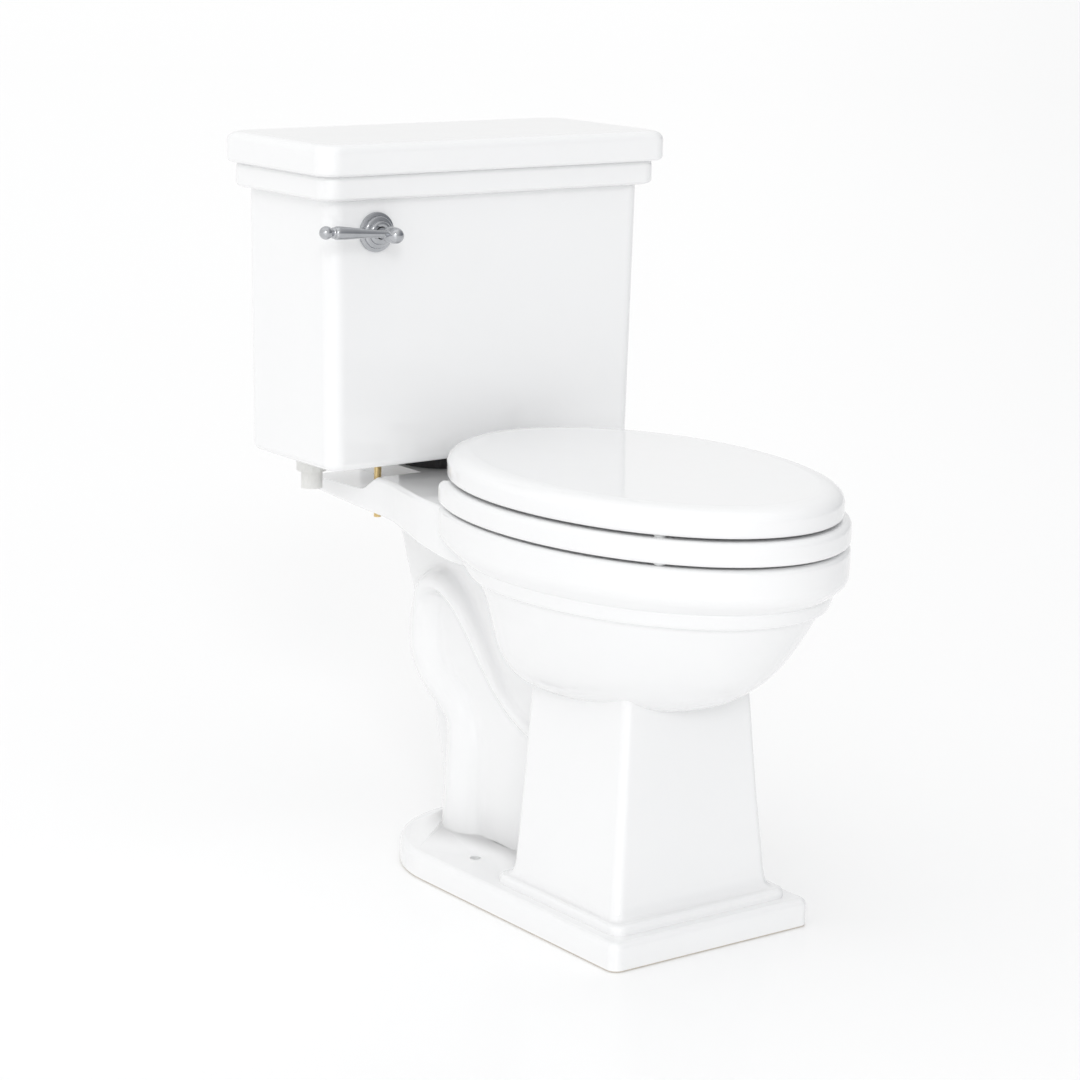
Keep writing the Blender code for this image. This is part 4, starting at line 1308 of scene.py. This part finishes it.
    def build_pads(self, palette: Palette) -> None:
        """Models a domed pad in the place of each CAD pad.

        Args:
            palette: The materials.
        """
        names = [f"lid_buffer_{side}" for side in ("left", "right")]
        names += [f"ring_buffer_{place}_{side}" for place in ("front", "rear")
                  for side in ("left", "right")]
        for name in names:
            low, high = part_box(name)
            at = ((low.x + high.x) / 2, (low.y + high.y) / 2, low.z)
            tall, radius = high.z - low.z, (high.x - low.x) / 2
            profile = (
                (0.0, tall), (radius, tall), (radius, tall * 0.40), (radius * 0.93, tall * 0.18),
                (radius * 0.78, tall * 0.04), (radius * 0.55, 0.0), (0.0, 0.0),
            )
            shape = Shape.turned(f"{name}_pad", profile, at, steps=48)
            body = Body.LID if name.startswith("lid") else Body.RING
            shape.finish(palette.pad, body, "buffer", [name])

    def build(self, palette: Palette) -> None:
        """Models the ring, the lid and their pads.

        Args:
            palette: The materials.
        """
        self.build_ring(palette)
        self.build_lid(palette)
        self.build_pads(palette)


@dataclass
class Hinges:
    """The two hinge posts, with their pins, studs and sleeves."""

    barrel_half: float = 0.0110
    barrel_radius: float = 0.0085
    sides: int = 48

    def build(self, palette: Palette) -> None:
        """Models both posts and dresses what holds them.

        Args:
            palette: The materials.
        """
        y, z = HINGE_Y, HINGE_Z
        # radius and height
        profile = (
            (0.0, 0.4450), (0.0068, 0.4450), (0.0070, 0.4360), (0.0072, 0.4260), (0.0078, 0.4215),
            (0.0088, 0.4190), (0.0093, 0.4178), (0.0095, 0.4165), (0.0093, 0.4153), (0.0, 0.4153),
        )
        for side, word in ((-1, "left"), (1, "right")):
            x = side * HINGE_X
            left, right = x - self.barrel_half, x + self.barrel_half
            name = f"hinge_post_{word}_moulding"
            post = Shape.turned(name, profile, (x, y, 0.0), steps=self.sides)
            barrel = Shape.rod(
                "barrel", (left, y, z), (right, y, z), self.barrel_radius, self.sides
            )
            barrel.bevel_sharp(0.0010, 50.0, 3)
            post.join(barrel)
            post.cut(
                Shape.rod("bore", (x - 0.020, y, z), (x + 0.020, y, z), PIN_HOLE, PIN_SIDES),
                Shape.rod("socket", (x, y, 0.4100), (x, y, 0.4300), PIN_HOLE, PIN_SIDES),
            )
            post.finish(palette.white_plastic, Body.PAN, "white_plastic", [f"hinge_post_{word}"])
            dress(palette.chrome, f"hinge_pin_{word}")
            dress(palette.brass, f"seat_stud_{word}")
            dress(palette.black_rubber, f"seat_sleeve_{word}")


# --- flush lever ----------------------------------------------------------------------------------
@dataclass
class FlushLever:
    """The stepped rose on the tank, the lever with its ball end, and what is behind it."""

    face: float = 0.1660
    arm_y: float = 0.1360
    arm_rise: float = 0.0010
    tilt: float = 4.0

    def build(self, palette: Palette) -> None:
        """Models the rose and the lever, and dresses the nut and the trip arm.

        Args:
            palette: The materials.
        """
        at = (LEVER_X, self.face, LEVER_Z)
        # radius, and height over the tank's face
        rose = (
            (0.0068, 0.0105), (0.0095, 0.0105), (0.0112, 0.0102), (0.0120, 0.0094),
            (0.0123, 0.0078), (0.0126, 0.0070), (0.0138, 0.0069), (0.0155, 0.0067),
            (0.0164, 0.0062), (0.0168, 0.0052), (0.0170, 0.0040), (0.0172, 0.0036),
            (0.0186, 0.0035), (0.0200, 0.0031), (0.0206, 0.0022), (0.0207, 0.0008),
            (0.0206, 0.0), (0.0068, 0.0), (0.0068, 0.0105),
        )
        plate = Shape.turned("lever_rose", rose, at, Axis.FRONT, 96)
        plate.finish(palette.chrome, Body.PAN, "chrome", ["lever_plate"])
        hub = (
            (0.0, 0.0440), (0.0030, 0.0438), (0.0052, 0.0430), (0.0070, 0.0412), (0.0080, 0.0388),
            (0.0084, 0.0360), (0.0085, 0.0320), (0.0085, 0.0262), (0.0082, 0.0245),
            (0.0072, 0.0234), (0.0064, 0.0222), (0.0061, 0.0205), (0.0060, 0.0180),
            (0.0060, -0.0300), (0.0, -0.0300),
        )
        handle = Shape.turned("lever_handle", hub, at, Axis.FRONT, 64)
        handle.join(self._arm())
        handle.finish(palette.chrome, Body.LEVER, "chrome", ["flush_lever"], 55.0)
        dress(palette.brass, "lever_nut", "trip_arm")

    def _arm(self) -> Shape:
        """Models the arm: slender at the hub, flaring to a collar, then the ball.

        Returns:
            The solid arm, in its place.
        """
        # radius, and distance from the hub
        profile = (
            (0.0, 0.0870), (0.0022, 0.0866), (0.0042, 0.0856), (0.0058, 0.0838), (0.0067, 0.0815),
            (0.0069, 0.0800), (0.0067, 0.0783), (0.0058, 0.0762), (0.0046, 0.0747),
            (0.0038, 0.0740), (0.0037, 0.0733), (0.0048, 0.0728), (0.0056, 0.0720),
            (0.0057, 0.0710), (0.0055, 0.0701), (0.0062, 0.0694), (0.0068, 0.0683),
            (0.0070, 0.0660), (0.0068, 0.0610), (0.0063, 0.0530), (0.0056, 0.0440),
            (0.0049, 0.0340), (0.0043, 0.0240), (0.0040, 0.0160), (0.0040, 0.0),
            (0.0, 0.0),
        )
        arm = Shape.turned("arm", profile, (0.0, 0.0, 0.0), Axis.LEFT, 48)
        arm.place(
            Matrix.Translation((LEVER_X, self.arm_y, LEVER_Z + self.arm_rise))
            @ Matrix.Rotation(math.radians(self.tilt), 4, "Y")
        )
        return arm


# --- works in the tank ----------------------------------------------------------------------------
class TankWorks:
    """The flush valve, the fill valve and what joins them, in the tank."""

    def build(self, palette: Palette) -> None:
        """Dresses the pieces in and under the tank.

        Args:
            palette: The materials.
        """
        dress(palette.white_plastic, "flush_valve", "fill_valve", "fill_valve_nut", "refill_clip")
        dress(palette.black_plastic, "flush_valve_nut", "fill_valve_cap", "float_cup")
        dress(palette.red_rubber, "flapper")
        dress(palette.chrome, "lift_chain")
        dress(palette.black_rubber, "tank_gasket", "fill_valve_washer", "refill_tube")
        for side in ("left", "right"):
            dress(palette.brass, f"tank_bolt_{side}", f"tank_bolt_nut_{side}")
            dress(palette.black_rubber, f"tank_bolt_washer_{side}")


# --- studio ---------------------------------------------------------------------------------------
@dataclass
class Studio:
    """The pale floor, the soft lights and the camera."""

    eye: Point = (-1.8374, -2.3981, 1.0516)
    azimuth: float = -36.682
    elevation: float = 12.66
    roll: float = 1.15
    lens: float = 99.87
    sensor: float = 36.0
    aim: Point = (0.0, 0.0, 0.38)
    floor_size: float = 80.0
    floor_colour: Point = (0.94, 0.94, 0.94)
    floor_roughness: float = 0.22
    floor_glow: float = 0.075
    white_strength: float = 0.98
    # the way to the greyest part of the surroundings
    grey_side: Point = (0.93, -0.35, -0.12)
    # how far round from the opposite side to the grey side (0 to 1), and the colour there
    greys: tuple[tuple[float, Point], ...] = (
        (0.10, (0.95, 0.95, 0.95)), (0.30, (0.93, 0.93, 0.93)), (0.66, (0.92, 0.92, 0.92)),
        (0.97, (0.30, 0.31, 0.33)),
    )
    # name, where from, angle in degrees, strength
    suns: tuple[tuple[str, Point, float, float], ...] = (
        ("key_light", (-1.9, -3.2, 2.2), 11.0, 0.32),
        ("top_light", (-0.4, 0.2, 3.6), 70.0, 0.20),
        ("front_light", (-1.9, -2.2, 0.9), 50.0, 0.38),
    )

    def build(self) -> None:
        """Sets up the floor, the surroundings, the lights and the camera."""
        self._floor()
        self._surroundings()
        for name, place, angle, strength in self.suns:
            self._sun(name, place, angle, strength)
        self._camera()
        bpy.context.scene.view_settings.view_transform = "Standard"

    def _floor(self) -> None:
        """Lays the pale floor."""
        clear_selection()
        bpy.ops.mesh.primitive_plane_add(size=self.floor_size, location=(0.0, 0.0, 0.0))
        floor = bpy.context.object
        floor.name = "pale_floor"
        material = bpy.data.materials.new("pale_floor")
        material.use_nodes = True
        shader = material.node_tree.nodes["Principled BSDF"]
        shader.inputs["Base Color"].default_value = (*self.floor_colour, 1.0)
        shader.inputs["Roughness"].default_value = self.floor_roughness
        shader.inputs["Emission Color"].default_value = (1.0, 1.0, 1.0, 1.0)
        shader.inputs["Emission Strength"].default_value = self.floor_glow
        floor.data.materials.append(material)

    def _surroundings(self) -> None:
        """Surrounds the toilet with white, greyer on its right."""
        world = bpy.data.worlds.new("white_studio")
        bpy.context.scene.world = world
        world.use_nodes = True
        tree = world.node_tree
        back = tree.nodes["Background"]
        place = tree.nodes.new("ShaderNodeTexCoord")
        toward = tree.nodes.new("ShaderNodeVectorMath")
        toward.operation = "DOT_PRODUCT"
        toward.inputs[1].default_value = self.grey_side
        # from -1 to 1, to 0 to 1
        share = tree.nodes.new("ShaderNodeMath")
        share.operation = "MULTIPLY_ADD"
        share.inputs[1].default_value = 0.5
        share.inputs[2].default_value = 0.5
        ramp = tree.nodes.new("ShaderNodeValToRGB")
        stops = ramp.color_ramp.elements
        for stop, (position, grey) in zip(stops, (self.greys[0], self.greys[-1])):
            stop.position, stop.color = position, (*grey, 1.0)
        for position, grey in self.greys[1:-1]:
            stops.new(position).color = (*grey, 1.0)
        tree.links.new(place.outputs["Generated"], toward.inputs[0])
        tree.links.new(toward.outputs["Value"], share.inputs[0])
        tree.links.new(share.outputs["Value"], ramp.inputs["Fac"])
        tree.links.new(ramp.outputs["Color"], back.inputs["Color"])
        back.inputs["Strength"].default_value = self.white_strength

    def _sun(self, name: str, place: Point, angle: float, strength: float) -> None:
        """Adds one wide, even light that shines from a place towards the toilet.

        Args:
            name: The lamp's name.
            place: Where it shines from.
            angle: How wide it is, in degrees.
            strength: Its strength.
        """
        bpy.ops.object.light_add(type="SUN", location=place)
        lamp = bpy.context.object
        lamp.name = name
        lamp.data.angle = math.radians(angle)
        lamp.data.energy = strength
        way = Vector(self.aim) - Vector(place)
        lamp.rotation_euler = way.to_track_quat("-Z", "Y").to_euler()

    def _camera(self) -> None:
        """Stands the camera at its place, turned, tilted and rolled."""
        turn, tilt, roll = (math.radians(a) for a in (self.azimuth, self.elevation, self.roll))
        back = Vector((math.sin(turn) * math.cos(tilt), -math.cos(turn) * math.cos(tilt),
                       math.sin(tilt)))
        right = (-back).cross(Vector((0.0, 0.0, 1.0))).normalized()
        up = right.cross(-back)
        side = right * math.cos(roll) + up * math.sin(roll)
        high = up * math.cos(roll) - right * math.sin(roll)
        data = bpy.data.cameras.new("camera")
        data.lens = self.lens
        data.sensor_width = self.sensor
        camera = bpy.data.objects.new("camera", data)
        bpy.context.scene.collection.objects.link(camera)
        camera.matrix_world = Matrix(
            (
                (side.x, high.x, back.x, self.eye[0]),
                (side.y, high.y, back.y, self.eye[1]),
                (side.z, high.z, back.z, self.eye[2]),
                (0.0, 0.0, 0.0, 1.0),
            )
        )
        bpy.context.scene.camera = camera


def main() -> None:
    """Builds every sub-assembly in order, then the studio."""
    logging.basicConfig(level=logging.INFO, format="%(name)s: %(message)s")
    palette = Palette()
    Bowl().build(palette)
    Tank().build(palette)
    TankLid().build(palette)
    Seat().build(palette)
    Hinges().build(palette)
    FlushLever().build(palette)
    TankWorks().build(palette)
    Studio().build()


if __name__ == "__main__":
    main()
